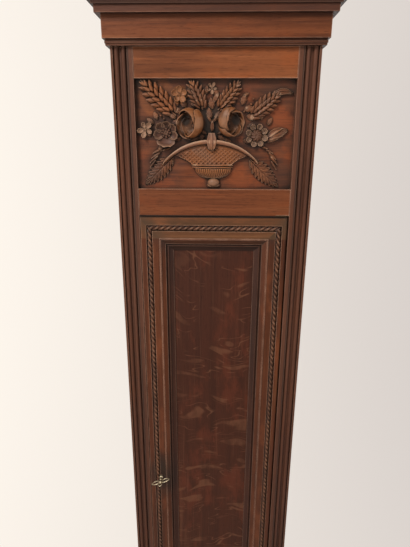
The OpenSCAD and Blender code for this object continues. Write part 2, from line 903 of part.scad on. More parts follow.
module hour_hand() {
    pad_at = hour_hand_l * 0.7;
    pad_r = 6;
    color("#1f2430") sheet_y(hour_hand_y, hour_hand_y + hand_t) translate([0, dial_z])
        hand_outline(hour_hand_l, 6, 3, 8, hour_pipe_r + hand_fit) translate([0, pad_at]) circle(pad_r);
}

module seconds_hand() {
    long = seconds_ring_r - 4;
    tail = 9;
    color("#1f2430") sheet_y(second_hand_y, second_hand_y + 0.8) translate([0, escape_z])
        hand_outline(long, 2, 0.8, 2.6, pivot_r + hand_fit)
            polygon([[-0.8, 0], [-1.4, -tail], [1.4, -tail], [0.8, 0]]);
}

// Movement

// Outline of a toothed wheel: tooth width at root and tip is a share of the tooth pitch
module teeth(n, m, phase) {
    pitch = PI * m;
    tip_r = m * (n / 2 + tooth_out);
    root_r = m * (n / 2 - tooth_in);
    corners = [[root_r, -0.25], [tip_r, -0.08], [tip_r, 0.08], [root_r, 0.25]];
    polygon([for (i = [0:n - 1], c = corners)
        let (a = phase + 360 * i / n + c[1] * pitch / c[0] * 180 / PI) c[0] * [cos(a), sin(a)]]);
}

// A wheel with its rim, hub and spokes
module crossed_wheel(n, m, phase, hub, spokes, bore) {
    rim = m * (n / 2 - tooth_in) - 2.2;
    difference() {
        teeth(n, m, phase);
        difference() {
            circle(rim);
            circle(hub);
            for (i = [0:spokes - 1]) rotate(360 * i / spokes + 45) strip([0, 0], [rim + 1, 0], 2.6);
        }
        if (bore > 0) circle(bore);
    }
}

module plate_outline() {
    translate([-plate_w / 2, plate_bottom]) square([plate_w, plate_top - plate_bottom]);
}

module front_plate() {
    color(brass) difference() {
        union() {
            sheet_y(front_out, front_in) plate_outline();
            bar_y(minute_x, dial_z, stud_r, front_out - 21, front_in - 1);
        }
        for (bore = [[barrel_z, barrel_arbor_r], [dial_z, arbor_r], [third_z, pivot_r], [escape_z, pivot_r],
            [pallet_z, pivot_r]])
            bar_y(0, bore[0], bore[1] + run_fit, front_out - 1, front_in + 1);
    }
}

module back_plate() {
    color(brass) difference() {
        sheet_y(back_in, back_out) plate_outline();
        bar_y(0, barrel_z, arbor_r + run_fit, back_in - 1, back_out + 1);
        for (z = [dial_z, third_z, escape_z]) bar_y(0, z, pivot_r + run_fit, back_in - 1, back_out + 1);
        bar_y(0, pallet_z, thin_arbor_r + 1, back_in - 1, back_out + 1);
    }
}

module plate_pillars() {
    color(brass) for (spot = pillar_spots) {
        bar_y(spot[0], spot[1], pillar_r, front_in, back_in);
    }
}

// The winding square stands through the dial
module barrel() {
    square_y = front_out - 16;
    color(brass) {
        bar_y(0, barrel_z, drum_r, drum_y - 0.1, drum_y + drum_l + 0.1);
        for (y = [drum_y - flange_t, drum_y + drum_l]) bar_y(0, barrel_z, flange_r, y, y + flange_t);
        bar_y(0, barrel_z, barrel_arbor_r, square_y, back_in - end_shake);
        bar_y(0, barrel_z, arbor_r, back_in - 1, back_out);
        translate([0, square_y + 1, barrel_z]) rotate([90, 0, 0])
            cylinder(r = barrel_arbor_r, h = square_y + 1 - dial_y + 1.5, $fn = 4);
    }
}

module great_wheel() {
    color(brass) sheet_y(great_y, great_y + great_t) translate([0, barrel_z])
        crossed_wheel(great_n, great_m, 0, 9, 6, barrel_arbor_r + run_fit);
}

module centre_wheel() {
    cannon_y = front_out - 10;
    color(brass) {
        sheet_y(centre_y, centre_y + wheel_t) translate([0, dial_z])
            crossed_wheel(centre_n, centre_m, 0, 5, 4, 0);
        sheet_y(great_y - 1, great_y + great_t + 0.5) translate([0, dial_z])
            teeth(pinion_n, great_m, pinion_phase);
        bar_y(0, dial_z, arbor_r, front_out - 3, back_in - end_shake);
        bar_y(0, dial_z, pivot_r, back_in - 1, back_out);
        bar_y(0, dial_z, cannon_r, minute_hand_y - 1, front_out - 2);
        sheet_y(cannon_y, cannon_y + 5) translate([0, dial_z]) teeth(cannon_n, cannon_m, 0);
    }
}

module third_wheel() {
    color(brass) {
        sheet_y(third_y, third_y + wheel_t) translate([0, third_z])
            crossed_wheel(third_n, third_m, 0, 4.5, 4, 0);
        sheet_y(centre_y - 1, centre_y + wheel_t + 1.5) translate([0, third_z])
            teeth(pinion_n, centre_m, pinion_phase);
        bar_y(0, third_z, thin_arbor_r, front_in + end_shake, back_in - end_shake);
        bar_y(0, third_z, pivot_r, front_out, back_out);
    }
}

module escape_wheel() {
    rim = escape_r - 4.5;
    root = escape_r - 3;
    step = 360 / escape_n;
    tooth = [[root, 0], [escape_r, 0.2], [escape_r, 0.28], [root, 0.75]];
    spokes = 5;
    color(brass) {
        sheet_y(escape_y, escape_y + 1.5) translate([0, escape_z]) difference() {
            polygon([for (i = [0:escape_n - 1], c = tooth)
                c[0] * [cos(step * (i + c[1])), sin(step * (i + c[1]))]]);
            difference() {
                circle(rim);
                circle(4);
                for (i = [0:spokes - 1]) rotate(360 * i / spokes) strip([0, 0], [rim + 1, 0], 2);
            }
        }
        sheet_y(third_y - 1.5, third_y + wheel_t + 1.5) translate([0, escape_z])
            teeth(pinion_n, third_m, pinion_phase);
        bar_y(0, escape_z, thin_arbor_r, front_in + end_shake, back_in - end_shake);
        bar_y(0, escape_z, pivot_r, second_hand_y - 0.4, back_out);
    }
}

// The pallets stand clear of the teeth by the swing's reach and a little more
module pallets() {
    pallet_angle = 45;
    clear = 1;
    nib = (escape_r + clear) * [sin(pallet_angle), cos(pallet_angle)];
    hub = [0, pallet_rise];
    shoulder = [nib[0] + 3, nib[1] + 6];
    fork_hw = rod_r + fork_gap + fork_t;
    color(steel) {
        sheet_y(escape_y - 0.5, escape_y - 0.5 + pallet_t) translate([0, escape_z]) {
            translate(hub) circle(4);
            both_sides() {
                strip(hub, shoulder, 3.2);
                polygon([nib, nib + [2.2, -2.2], shoulder + [1.6, 0.4], shoulder + [-2, 1.6]]);
            }
        }
        bar_y(0, pallet_z, thin_arbor_r, front_in + end_shake, cock_y - play);
        bar_y(0, pallet_z, pivot_r, front_out, cock_y + cock_t);
        sheet_y(crutch_y, crutch_y + crutch_t) translate([0, pallet_z]) {
            circle(4);
            translate([-1.5, -crutch_l]) square([3, crutch_l]);
            translate([-fork_hw, -crutch_l - 4]) square([2 * fork_hw, 5]);
        }
        both_sides() block([fork_hw - fork_t, crutch_y, pallet_z - crutch_l - 4],
            [fork_hw, pendulum_y + rod_r + 2, pallet_z - crutch_l + 1]);
    }
}

module minute_wheel() {
    near = front_out - 9;
    color(brass) difference() {
        union() {
            sheet_y(near, near + 3) translate([minute_x, dial_z])
                crossed_wheel(minute_n, cannon_m, 5, 4, 4, 0);
            sheet_y(near - 10, near + 0.5) translate([minute_x, dial_z]) teeth(minute_pinion_n, hour_m, 0);
            bar_y(minute_x, dial_z, 3, near + 2, near + 8);
        }
        bar_y(minute_x, dial_z, stud_r + run_fit, near - 11, near + 9);
    }
}

module hour_wheel() {
    near = front_out - 17;
    bore = cannon_r + run_fit;
    color(brass) difference() {
        union() {
            sheet_y(near, near + 3) translate([0, dial_z]) crossed_wheel(hour_n, hour_m, 4.5, 5.5, 4, 0);
            bar_y(0, dial_z, hour_pipe_r, hour_hand_y - 0.4, near + 1);
        }
        bar_y(0, dial_z, bore, hour_hand_y - 2, near + 4);
    }
}

module pendulum_cock() {
    foot_low = pallet_z + cock_rise;
    color(brass) difference() {
        union() {
            block([-22, back_out, foot_low], [22, back_out + cock_t, foot_low + cock_foot_h]);
            block([-6, back_out, foot_low], [6, pendulum_y + 8, foot_low + 8]);
            block([-7, cock_y, pallet_z - 6], [7, cock_y + cock_t, foot_low + 1]);
            block([-5, pendulum_y - 8, pallet_z + 0.1], [5, pendulum_y + 8, foot_low + 1]);
        }
        bar_y(0, pallet_z, pivot_r + run_fit, cock_y - 1, cock_y + cock_t + 1);
    }
}

// Pendulum

module suspension_spring() {
    chop = pallet_z - spring_l;
    color(steel) {
        block([-0.2, pendulum_y - 5, chop - 1], [0.2, pendulum_y + 5, pallet_z]);
        block([-3.5, pendulum_y - 6, chop - chop_h], [3.5, pendulum_y + 6, chop]);
    }
}

module pendulum_rod() {
    color(steel) translate([0, pendulum_y, rod_bottom])
        cylinder(r = rod_r, h = pallet_z - spring_l - chop_h - rod_bottom);
}

// The bob is a lens, bored through for the rod
module pendulum_bob() {
    rim_t = 5;
    swell = (bob_t - rim_t) / 2;
    lens_r = (bob_r * bob_r + swell * swell) / (2 * swell);
    color(brass) translate([0, pendulum_y, bob_z]) difference() {
        rotate([90, 0, 0]) rotate_extrude($fn = 96) intersection() {
            translate([0, -bob_t / 2]) square([bob_r, bob_t]);
            translate([0, bob_t / 2 - lens_r]) circle(lens_r, $fn = 360);
            translate([0, lens_r - bob_t / 2]) circle(lens_r, $fn = 360);
        }
        translate([0, 0, -bob_r - 1]) cylinder(r = rod_r + run_fit, h = 2 * bob_r + 2);
    }
}

module rating_nut() {
    color(brass) translate([0, pendulum_y, bob_z - bob_r - 12]) difference() {
        union() {
            cylinder(r = 12, h = 5);
            cylinder(r = 7, h = 11.5);
        }
        translate([0, 0, -1]) cylinder(r = rod_r + run_fit, h = 14);
    }
}

// Weight, pulley and line

module weight() {
    low = weight_top - weight_h;
    color(brass) translate([0, weight_y, 0]) difference() {
        union() {
            translate([0, 0, low]) cylinder(r = weight_r - 2, h = weight_h);
            translate([0, 0, low + 3]) cylinder(r = weight_r, h = weight_h - 6);
            translate([0, 0, weight_top]) cylinder(r = 9, h = 4);
        }
        translate([0, 0, weight_top - 20]) cylinder(r = axle_r + 1 + run_fit, h = 30);
    }
}

module pulley_block() {
    color(brass) translate([0, weight_y, pulley_z]) {
        for (y = [-cheek_gap - cheek_t, cheek_gap]) sheet_y(y, y + cheek_t) {
            circle(7);
            translate([-6, -block_drop]) square([12, block_drop]);
        }
        block([-6, -cheek_gap - cheek_t, -block_drop], [6, cheek_gap + cheek_t, -block_drop + 5]);
        bar_y(0, 0, axle_r, -cheek_gap - cheek_t - 1, cheek_gap + cheek_t + 1);
        translate([0, 0, -block_drop - 32]) cylinder(r = axle_r + 1, h = 33);
    }
}

module pulley() {
    groove = gut_r + 0.8;
    half = pulley_w / 2;
    color(brass) translate([0, weight_y, pulley_z]) rotate([90, 0, 0]) difference() {
        rotate_extrude() polygon([[0, -half], [pulley_r, -half], [pulley_r, -half + 0.8], [drum_r, -groove],
            [drum_r, groove], [pulley_r, half - 0.8], [pulley_r, half], [0, half]]);
        translate([0, 0, -half - 1]) cylinder(r = axle_r + run_fit, h = pulley_w + 2);
    }
}

function unit(v) = v / norm(v);
function heading(route, i) = unit(route[min(i + 1, len(route) - 1)] - route[max(i - 1, 0)]);

// A round tube swept along a route that lies nearly in the X Z plane
module tube(route, r, sides) {
    points = [for (i = [0:len(route) - 1])
        let (ahead = heading(route, i), up = unit(cross(ahead, [0, 1, 0])), across = cross(up, ahead))
            for (s = [0:sides - 1])
                route[i] + r * (cos(360 * s / sides) * across + sin(360 * s / sides) * up)];
    last = (len(route) - 1) * sides;
    polyhedron(points, concat(
        [[for (s = [0:sides - 1]) s]],
        [for (i = [0:len(route) - 2], s = [0:sides - 1]) let (a = i * sides, n = (s + 1) % sides)
            [a + s, a + sides + s, a + sides + n, a + n]],
        [[for (s = [sides - 1:-1:0]) last + s]]));
}

module gut_line() {
    color("#caa45a") {
        tube(gut_route, gut_r, 8);
        translate([wrap_r, weight_y, knot_z]) sphere(2.8, $fn = 12);
    }
}

// Carved panel: a basket of flowers in low relief
// Relief lies in x and y with its height along z, and is then stood up on the panel

module grain(at, angle, long, wide, high) {
    translate([at[0], at[1], 0]) rotate(angle) scale([long, wide, high]) sphere(1, $fn = 8);
}

module ear(root, tip, wide) {
    run = tip - root;
    lean = atan2(run[1], run[0]);
    rows = 5;
    grain(root + run * 0.55, lean, norm(run) / 2, 3, 4);
    for (i = [1:rows], side = [-1, 1])
        grain(root + run * (i - 0.2) / rows + side * wide / 4 * [-sin(lean), cos(lean)],
            lean + side * 30, wide * 0.42, wide * 0.19, 5);
}

module leaf(root, tip, wide, high) {
    run = tip - root;
    lean = atan2(run[1], run[0]);
    grain((root + tip) / 2, lean, norm(run) / 2, wide / 2, high);
    for (i = [1:3], side = [-1, 1])
        grain(root + run * (0.1 + i * 0.22) + side * wide * 0.3 * [-sin(lean), cos(lean)],
            lean + side * 38, wide * 0.34, wide * 0.12, high * 0.9);
}

module blossom(at, r, petals, high) {
    for (i = [0:petals - 1]) let (a = 360 * i / petals + 90)
        grain(at + r * 0.55 * [cos(a), sin(a)], a, r * 0.48, r * 0.4, high);
    grain(at, 0, r * 0.3, r * 0.3, high + 1.5);
}

module rose(at, r, side) {
    translate(at) scale([1, 1, 0.72]) difference() {
        sphere(r * 0.72, $fn = 16);
        rotate([0, side * 38, 0]) translate([0, 0, r * 0.66]) sphere(r * 0.55, $fn = 16);
    }
}

module basket() {
    bowl = [[-68, -30], [-50, -24], [-28, -15], [-4, -12], [18, -15], [40, -24], [57, -30], [42, -38],
        [31, -47], [-37, -47], [-50, -38]];
    flutes = 10;
    flute_pitch = 6.2;
    flute_mid = -3;
    handle_at = [-6, -122, 0];
    handle_r = 112;
    handle_low = [-87, -44, 0];
    linear_extrude(5) polygon(bowl);
    translate([-38, -51, 0]) cube([70, 4, 8]);
    for (i = [0:flutes - 1]) let (x = (i - (flutes - 1) / 2) * flute_pitch)
        hull() for (end = [[flute_mid + x, -52], [flute_mid + x / 2, -66]])
            translate([end[0], end[1], 0]) cylinder(r1 = 3.4, r2 = 1.5, h = 6, $fn = 8);
    grain([-2, -73], 0, 8, 8, 7);
    grain([-4, -12], 90, 13, 9, 8);
    intersection() {
        translate(handle_at) rotate_extrude($fn = 48) translate([handle_r, 0]) circle(5.5, $fn = 8);
        translate(handle_low) cube([162, 60, 12]);
    }
}

module relief() {
    ear([-63, 31], [-120, 76], 27);
    ear([-11, 42], [-35, 80], 22);
    ear([3, 42], [37, 77], 22);
    ear([66, 26], [110, 60], 27);
    leaf([100, 52], [123, 65], 12, 4);
    rose([-36, 19], 24, -1);
    rose([27, 19], 24, 1);
    blossom([-76, 4], 19, 5, 6);
    blossom([68, 2], 18, 6, 6);
    blossom([-55, 60], 12, 5, 4);
    blossom([-3, 72], 10, 5, 4);
    blossom([-112, 9], 12, 5, 4);
    blossom([70, -14], 9, 5, 4);
    leaf([88, -4], [123, 8], 20, 5);
    leaf([-68, -34], [-115, -76], 26, 5);
    leaf([59, -38], [107, -78], 26, 5);
    leaf([-86, -22], [-108, -38], 14, 4);
    leaf([80, -22], [95, -42], 14, 4);
    grain([-6, 30], 90, 14, 6, 5);
    basket();
}

module carved_panel() {
    middle = (carved_top + carved_bottom) / 2;
    ground = trunk_y + carved_depth;
    color(oak) {
        block([-inner_hw, ground, carved_bottom], [inner_hw, rail_back, carved_top]);
        translate([0, ground + 0.5, middle]) rotate([90, 0, 0])
            scale([2 * inner_hw / relief_grid[0], carved_h / relief_grid[1], carved_depth / 10])
                intersection() {
                    relief();
                    translate([-relief_grid[0] / 2, -relief_grid[1] / 2, 0])
                        cube([relief_grid[0], relief_grid[1], 30]);
                }
    }
}

plinth();
base_sides();
base_frame();
base_panel();
base_floor();
base_moulding();
trunk_sides();
back_board();
trunk_stiles();
trunk_top_rail();
trunk_middle_rail();
trunk_bottom_rail();
carved_panel();
throat_moulding();
seat_board();
trunk_door_pivots();
door_frame();
door_rope_moulding();
door_panel_moulding();
door_panel();
lock_case();
lock_bolt();
door_key();
hood_base_rail();
hood_sides();
hood_stiles();
hood_frieze();
hood_cornice();
hood_roof();
dial_mask();
hood_door_pivots();
hood_door_frame();
hood_rope_moulding();
hood_door_glass();
hood_door_knob();
dial_plate();
dial_rings();
front_plate();
back_plate();
plate_pillars();
pendulum_cock();
barrel();
great_wheel();
centre_wheel();
third_wheel();
escape_wheel();
pallets();
minute_wheel();
hour_wheel();
minute_hand();
hour_hand();
seconds_hand();
suspension_spring();
pendulum_rod();
pendulum_bob();
rating_nut();
weight();
pulley_block();
pulley();
gut_line();
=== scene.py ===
import random
from math import atan2, ceil, cos, degrees, exp, hypot, pi, radians, sin, sqrt

import bmesh
import bpy
from mathutils import Matrix, Vector


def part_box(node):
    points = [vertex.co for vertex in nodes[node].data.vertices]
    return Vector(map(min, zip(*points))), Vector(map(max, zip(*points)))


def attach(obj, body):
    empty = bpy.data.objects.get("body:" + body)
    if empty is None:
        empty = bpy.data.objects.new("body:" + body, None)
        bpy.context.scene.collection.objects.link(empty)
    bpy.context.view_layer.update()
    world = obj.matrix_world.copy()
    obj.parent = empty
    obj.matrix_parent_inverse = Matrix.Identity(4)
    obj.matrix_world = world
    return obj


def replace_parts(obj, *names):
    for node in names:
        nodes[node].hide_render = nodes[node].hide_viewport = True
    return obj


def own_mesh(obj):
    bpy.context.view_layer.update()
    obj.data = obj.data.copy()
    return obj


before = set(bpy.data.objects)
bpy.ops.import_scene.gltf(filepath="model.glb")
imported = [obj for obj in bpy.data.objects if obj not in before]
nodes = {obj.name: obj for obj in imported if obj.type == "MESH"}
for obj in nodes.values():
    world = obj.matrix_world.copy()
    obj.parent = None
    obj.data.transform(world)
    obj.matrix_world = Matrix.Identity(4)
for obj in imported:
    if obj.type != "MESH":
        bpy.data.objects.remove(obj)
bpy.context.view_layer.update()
bpy.ops.object.select_all(action="DESELECT")
MM = 0.001
dice = random.Random(7)


# Sizes shared with the case, in metres
def span(node):
    """A node's reach to the right of x = 0, its middle height and its half height."""
    low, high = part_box(node)
    return high.x, (low.z + high.z) / 2, (high.z - low.z) / 2


trunk_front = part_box("trunk_stiles")[0].y
trunk_half = span("trunk_stiles")[0]
hood_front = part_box("hood_stiles")[0].y
hood_half = span("hood_stiles")[0]
carved_half, carved_z, carved_half_h = span("carved_panel")
dial_z = span("dial_plate")[1]
dial_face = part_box("dial_rings")[0].y
escape_z = span("escape_wheel")[1]


# Camera: it stands close in front of the trunk and looks down a little
def add_camera():
    """Place, aim and lens as fitted to the trunk's edges in the photograph."""
    eye = Vector((0.00577, -0.77175, 1.49897))
    down, roll, turn = (radians(a) for a in (17.113, 0.212, 1.654))
    ahead = Vector((-sin(turn) * cos(down), cos(turn) * cos(down), -sin(down)))
    right = Vector((cos(turn), sin(turn), 0))
    up = right.cross(ahead)
    lens = bpy.data.cameras.new("camera")
    lens.sensor_width = 36
    lens.lens = 27.64
    lens.clip_start = 0.05
    camera = bpy.data.objects.new("camera", lens)
    bpy.context.collection.objects.link(camera)
    sides = Matrix((cos(roll) * right + sin(roll) * up, cos(roll) * up - sin(roll) * right, -ahead))
    camera.matrix_world = Matrix.Translation(eye) @ sides.transposed().to_4x4()
    bpy.context.scene.camera = camera


# Finishes
def linear(red, green, blue):
    """A colour as it is seen, 0 to 255, turned into the shader's linear values."""
    def one(value):
        value /= 255
        return value / 12.92 if value <= 0.04045 else ((value + 0.055) / 1.055) ** 2.4
    return one(red), one(green), one(blue), 1.0


def sign(operation, swapped=False):
    """An arithmetic sign that adds a node of that operation."""
    def between(value, other=0.0):
        return value.tree.maths(operation, *((other, value) if swapped else (value, other)))
    return between


class Value:
    """What comes out of a node. The signs + - * ** > and abs() work on it, and | takes the larger of two."""

    def __init__(self, tree, socket):
        self.tree, self.socket = tree, socket

    __add__ = sign("ADD")
    __sub__, __rsub__ = sign("SUBTRACT"), sign("SUBTRACT", swapped=True)
    __mul__, __pow__ = sign("MULTIPLY"), sign("POWER")
    __gt__, __or__, __abs__ = sign("GREATER_THAN"), sign("MAXIMUM"), sign("ABSOLUTE")

    def clamped(self):
        """The same value, held between 0 and 1."""
        self.socket.node.use_clamp = True
        return self


class Tree:
    """A tree of nodes and the steps that it is built from."""

    def __init__(self, owner):
        owner.use_nodes = True
        self.tree = owner.node_tree
        self.tree.nodes.clear()

    def put(self, socket, value):
        """Gives a socket a number, a colour as it is seen, or what comes out of another node."""
        if isinstance(value, Value):
            self.tree.links.new(value.socket, socket)
        elif socket.type == "RGBA" and len(value) == 3:
            socket.default_value = linear(*value)
        else:
            socket.default_value = value

    def add(self, kind, inputs=(), output=0, **settings):
        """Adds a node, its inputs given in their order or by name, and gives one of its outputs."""
        node = self.tree.nodes.new("ShaderNode" + kind)
        for name, value in settings.items():
            setattr(node, name, value)
        for key, value in inputs.items() if isinstance(inputs, dict) else enumerate(inputs):
            self.put(node.inputs[key], value)
        return Value(self, node.outputs[output])

    def show(self, kind, surface):
        """Ends the tree with an output of that kind."""
        self.put(self.tree.nodes.new("ShaderNodeOutput" + kind).inputs["Surface"], surface)

    def maths(self, operation, *values):
        return self.add("Math", values, operation=operation)

    def parts(self, vector):
        node = self.add("SeparateXYZ", [vector]).socket.node
        return [Value(self, socket) for socket in node.outputs]

    def stretch(self, vector, scale, turn=(0, 0, 0), shift=(0, 0, 0)):
        scale = scale if isinstance(scale, tuple) else (scale, scale, scale)
        return self.add("Mapping", {"Vector": vector, "Scale": scale, "Rotation": turn, "Location": shift})

    def noise(self, vector, scale, detail=2.0, roughness=0.5, distortion=0.0, **place):
        """Clouds round 0.5, finer with a greater scale, which may differ along the three ways."""
        at = self.stretch(vector, scale, **place)
        return self.add("TexNoise", {"Vector": at, "Scale": 1.0, "Detail": detail, "Roughness": roughness,
                                     "Distortion": distortion}, output="Fac")

    def band(self, value, low, high, to_low=0.0, to_high=1.0, smooth=True):
        """Runs from to_low to to_high as the value goes from low to high, and stays there."""
        return self.add("MapRange", (value, low, high, to_low, to_high),
                        interpolation_type="SMOOTHSTEP" if smooth else "LINEAR")

    def mix(self, share, a, b):
        """From colour a to colour b, which are a mix node's inputs 6 and 7."""
        return self.add("Mix", {0: share, 6: a, 7: b}, output=2, data_type="RGBA")


class Finish(Tree):
    """A material: its colour so far, and the spot of the piece that is being coloured."""

    def __init__(self, name):
        self.material = bpy.data.materials.new(name)
        super().__init__(self.material)
        self.shader = self.add("BsdfPrincipled")
        self.show("Material", self.shader)
        self.spot = self.add("TexCoord", output="Object")
        self.x, self.y, self.z = self.parts(self.spot)
        self.joint = None  # how far a spot lies past the joint between two boards
        self.colour = None

    def set(self, **sockets):
        """Sets the shader's sockets, named with _ for a space, and gives the material."""
        for name, value in sockets.items():
            self.put(self.shader.socket.node.inputs[name.replace("_", " ")], value)
        return self.material

    def start(self, share, a, b):
        self.colour = self.mix(share, a, b)

    def over(self, tone, share):
        """Lays a tone over the colour so far."""
        self.colour = self.mix(share, self.colour, tone)

    def joined(self, *xyz):
        return self.add("CombineXYZ", xyz)

    def pick(self, share, a, b):
        """Vector a or b, which are a mix node's inputs 4 and 5."""
        return self.add("Mix", {0: share, 4: a, 5: b}, output=1, data_type="VECTOR")

    def off(self, x, z, rise=1.0):
        """How far a spot of the front lies from x and z, with heights counted rise times."""
        here = self.stretch(self.spot, (1, 0, rise))
        return self.add("VectorMath", (here, (x, 0, z * rise)), output="Value", operation="DISTANCE")

    def near_walls(self, reach, inside=False):
        """1 deep in a hollow, or with inside on a sharp edge, and 0 on open flat wood."""
        light = self.add("AmbientOcclusion", {"Distance": reach}, output="AO", samples=6, inside=inside)
        return (1.0 - light).clamped()

    def bump(self, height, strength, depth):
        return self.add("Bump", {"Strength": strength, "Distance": depth, "Height": height})


# How the boards of a piece lie: each gives the spot with the grain along its third part
def upright(f):
    return f.spot


def level(f):
    return f.joined(f.y, f.z, f.x)


def around(half, face):
    """Front board level, side boards front to back, mitred at the corners."""
    def lay(f):
        beyond = abs(f.x) + (f.y - (half + face))
        return f.pick(beyond > 0.0, level(f), f.joined(f.x, f.z, f.y))
    return lay


def framed(half, middle, half_h, mitred=True, stile=0.0):
    """Stiles upright and rails level, mitred or with the stiles running through."""
    def lay(f):
        f.joint = abs(f.x) - (half - stile)
        if mitred:
            f.joint = f.joint - (abs(f.z - middle) - half_h)
        return f.pick(f.joint > 0.0, level(f), f.spot)
    return lay


def wood(name, lay, tones, shift=0.0, rays=0.0, wax=1.0, wear=1.0, patch=0.5, rough=0.46, hollow=0.012,
         streak=1.0, stains=(), sunk=None, gap=None, tints=(), scribed=None):
    """Old waxed oak: drifting tone, streaks and pores along the grain, dark wax and painted shade in the
    hollows, painted shade on what faces down, and edges worn lighter with a painted highlight where they don't
    face down.

    Each stain is an x, a z and a reach; sunk is where y starts to darken and where it is full, painted shade
    further back in a moulding; the shadow line's height is where a painted shadow line runs between a door and
    the rail above; each tint is a start and a full height, a share and a tone; the painted groove is the x of a
    painted dark line that stands for the shade of a fine groove.
    """
    dark, mid, light, red = tones
    f = Finish(name)
    grain = f.stretch(lay(f), 1, shift=(shift, shift * 0.7, shift * 0.3))
    drift = f.noise(grain, (14, 14, 2.2), detail=3, distortion=0.6)
    broad = f.noise(grain, (85, 85, 3.2), detail=3, roughness=0.55, distortion=0.5)
    fine = f.noise(grain, (420, 420, 9), detail=3, roughness=0.6)
    pores = f.band(f.noise(grain, (1500, 1500, 70), detail=1), 0.6, 0.7)
    cloud = f.noise(grain, (26, 26, 11), detail=4, roughness=0.6)
    tone = ((broad * 0.55 + drift * 0.45 - 0.5) * (2.1 * streak) + 0.5).clamped()
    f.start(f.band(tone, 0.08, 0.62), dark, mid)
    f.over(light, f.band(tone, 0.55, 0.98))
    f.over(red, f.band(cloud, 0.5, 0.68) * patch)
    f.over(dark, f.band(fine, 0.56, 0.72) * (0.42 * streak))
    f.over(light, f.band(fine, 0.42, 0.28) * (0.3 * streak))
    f.over([c * 0.45 for c in linear(*dark)[:3]] + [1.0], pores * 0.5)
    if rays:
        bent = f.noise(grain, (11, 11, 5), detail=1, shift=(2, 9, 4)) * 0.09
        across, deep_in, along = f.parts(grain)
        fleck = f.noise(f.joined(across, deep_in, along + bent), (17, 17, 62), detail=0.8, distortion=0.4,
                        turn=(0, radians(-9), 0))
        thin = f.band(abs(fleck - 0.5), 0.022, 0.0)
        where = f.band(f.noise(grain, (24, 24, 16), shift=(8, 4, 0)), 0.44, 0.58)
        broad_ray = f.band(fleck, 0.61, 0.68) * f.band(cloud, 0.4, 0.6, 0.25, 0.85)
        f.over(light, (thin * where | broad_ray) * rays)
    if f.joint is not None:
        apart = abs(f.joint)
        grime = f.band(apart, 0.03, 0.0) * f.band(cloud, 0.36, 0.6, 0.1, 0.75)
        f.over((48, 36, 30), grime | f.band(apart, 0.0008, 0.0002))
    for x, z, reach in stains:
        off = cloud * (reach * 0.8) + f.off(x, z, 0.62)
        f.over((42, 35, 28), f.band(off, reach * 1.5, reach * 0.7) * 0.85)
    facing = f.parts(f.add("NewGeometry", output="Normal"))[2]
    # Painted shade: surfaces that face down are darker
    f.over((40, 29, 22), f.band(facing, 0.05, -0.55, 0.0, 0.6))
    # Painted shade: darker further back from a moulding's front
    if sunk:
        f.over((46, 31, 27), f.band(f.y, *sunk, 0.0, 0.66))
    mottle = f.noise(f.spot, 60, detail=3)
    # Dark wax and painted shade in the hollows, patchy
    deep = f.near_walls(hollow) ** 1.35 * f.band(mottle, 0.25, 0.6, 0.7, 1.0)
    f.over((32, 23, 17), (deep * (1.05 * wax)).clamped())
    # Edges worn lighter, and a painted highlight: only on edges that don't face down, and fewer further back in
    # a moulding
    rim = f.band(f.near_walls(0.0022, inside=True), 0.16, 0.55) * f.band(mottle, 0.3, 0.6, 0.45, 1.0)
    rim = rim * f.band(facing, -0.35, 0.0)
    if sunk:
        rim = rim * f.band(f.y, *sunk[::-1], 0.25, 1.0)
    f.over((188, 146, 122), rim * (0.55 * wear))
    # A painted dark line that stands for the shade of a fine groove
    if scribed:
        f.over((38, 27, 22), f.band(abs(abs(f.x) - scribed), 0.0013, 0.0005, 0.0, 0.75))
    for start, full, share, tint in tints:
        f.over(tint, f.band(f.z, start, full, 0.0, share))
    # A painted shadow line between a door and the rail above it
    if gap:
        f.over((30, 21, 16), f.band(abs(f.z - gap), 0.0030, 0.0014, 0.0, 0.92))
    return f.set(Base_Color=f.colour, Roughness=pores * 0.15 + (broad * 0.16 + (rough - 0.08)),
                 Specular_IOR_Level=0.16, Normal=f.bump(pores * -0.7 + fine * -0.35, 0.35, 0.00035))


def metal(name, colour, tarnish, rough=0.32, scratch=(0, 0, 0), dull=0.6, spots=0.5):
    """Hand-finished metal: fine scratches, cloudy tarnish and dirt in the corners."""
    f = Finish(name)
    cloud = f.noise(f.spot, 38, detail=4, roughness=0.6)
    fine = f.noise(f.spot, (700, 700, 45), turn=scratch)
    speck = f.noise(f.spot, 240)
    stained = (f.band(cloud, 0.46, 0.72) * dull + f.band(speck, 0.64, 0.74) * (spots * 0.5)).clamped()
    stained = (stained + f.near_walls(0.006) * 0.6).clamped()
    return f.set(Base_Color=f.mix(stained, colour, tarnish), Metallic=1.0,
                 Roughness=stained * 0.22 + (fine * 0.12 + (rough - 0.06)), Normal=f.bump(fine, 0.12, 0.0002))


# Each oak's dark, middle, light and red tone
OAK = (78, 40, 22), (117, 64, 36), (146, 90, 56), (132, 66, 32)
RAIL = (90, 48, 25), (134, 76, 43), (162, 100, 60), (150, 78, 38)
DOOR = (60, 31, 17), (92, 48, 26), (122, 76, 46), (118, 64, 36)
STILE = (60, 35, 24), (95, 59, 43), (118, 78, 60), (104, 58, 36)
DARK = (42, 23, 12), (70, 40, 25), (100, 64, 44), (80, 42, 24)
PANEL = (46, 23, 13), (68, 34, 21), (112, 72, 50), (92, 44, 27)
PLAIN = (84, 54, 30), (118, 82, 50), (146, 108, 74), (116, 74, 42)


def paint(names, material):
    for name in names.split():
        slots = nodes[name].data.materials
        slots.clear()
        slots.append(material)


def oak(names, *how, **more):
    """Paints the nodes with an oak that is named after the first of them."""
    paint(names, wood("oak_" + names.split()[0], *how, **more))


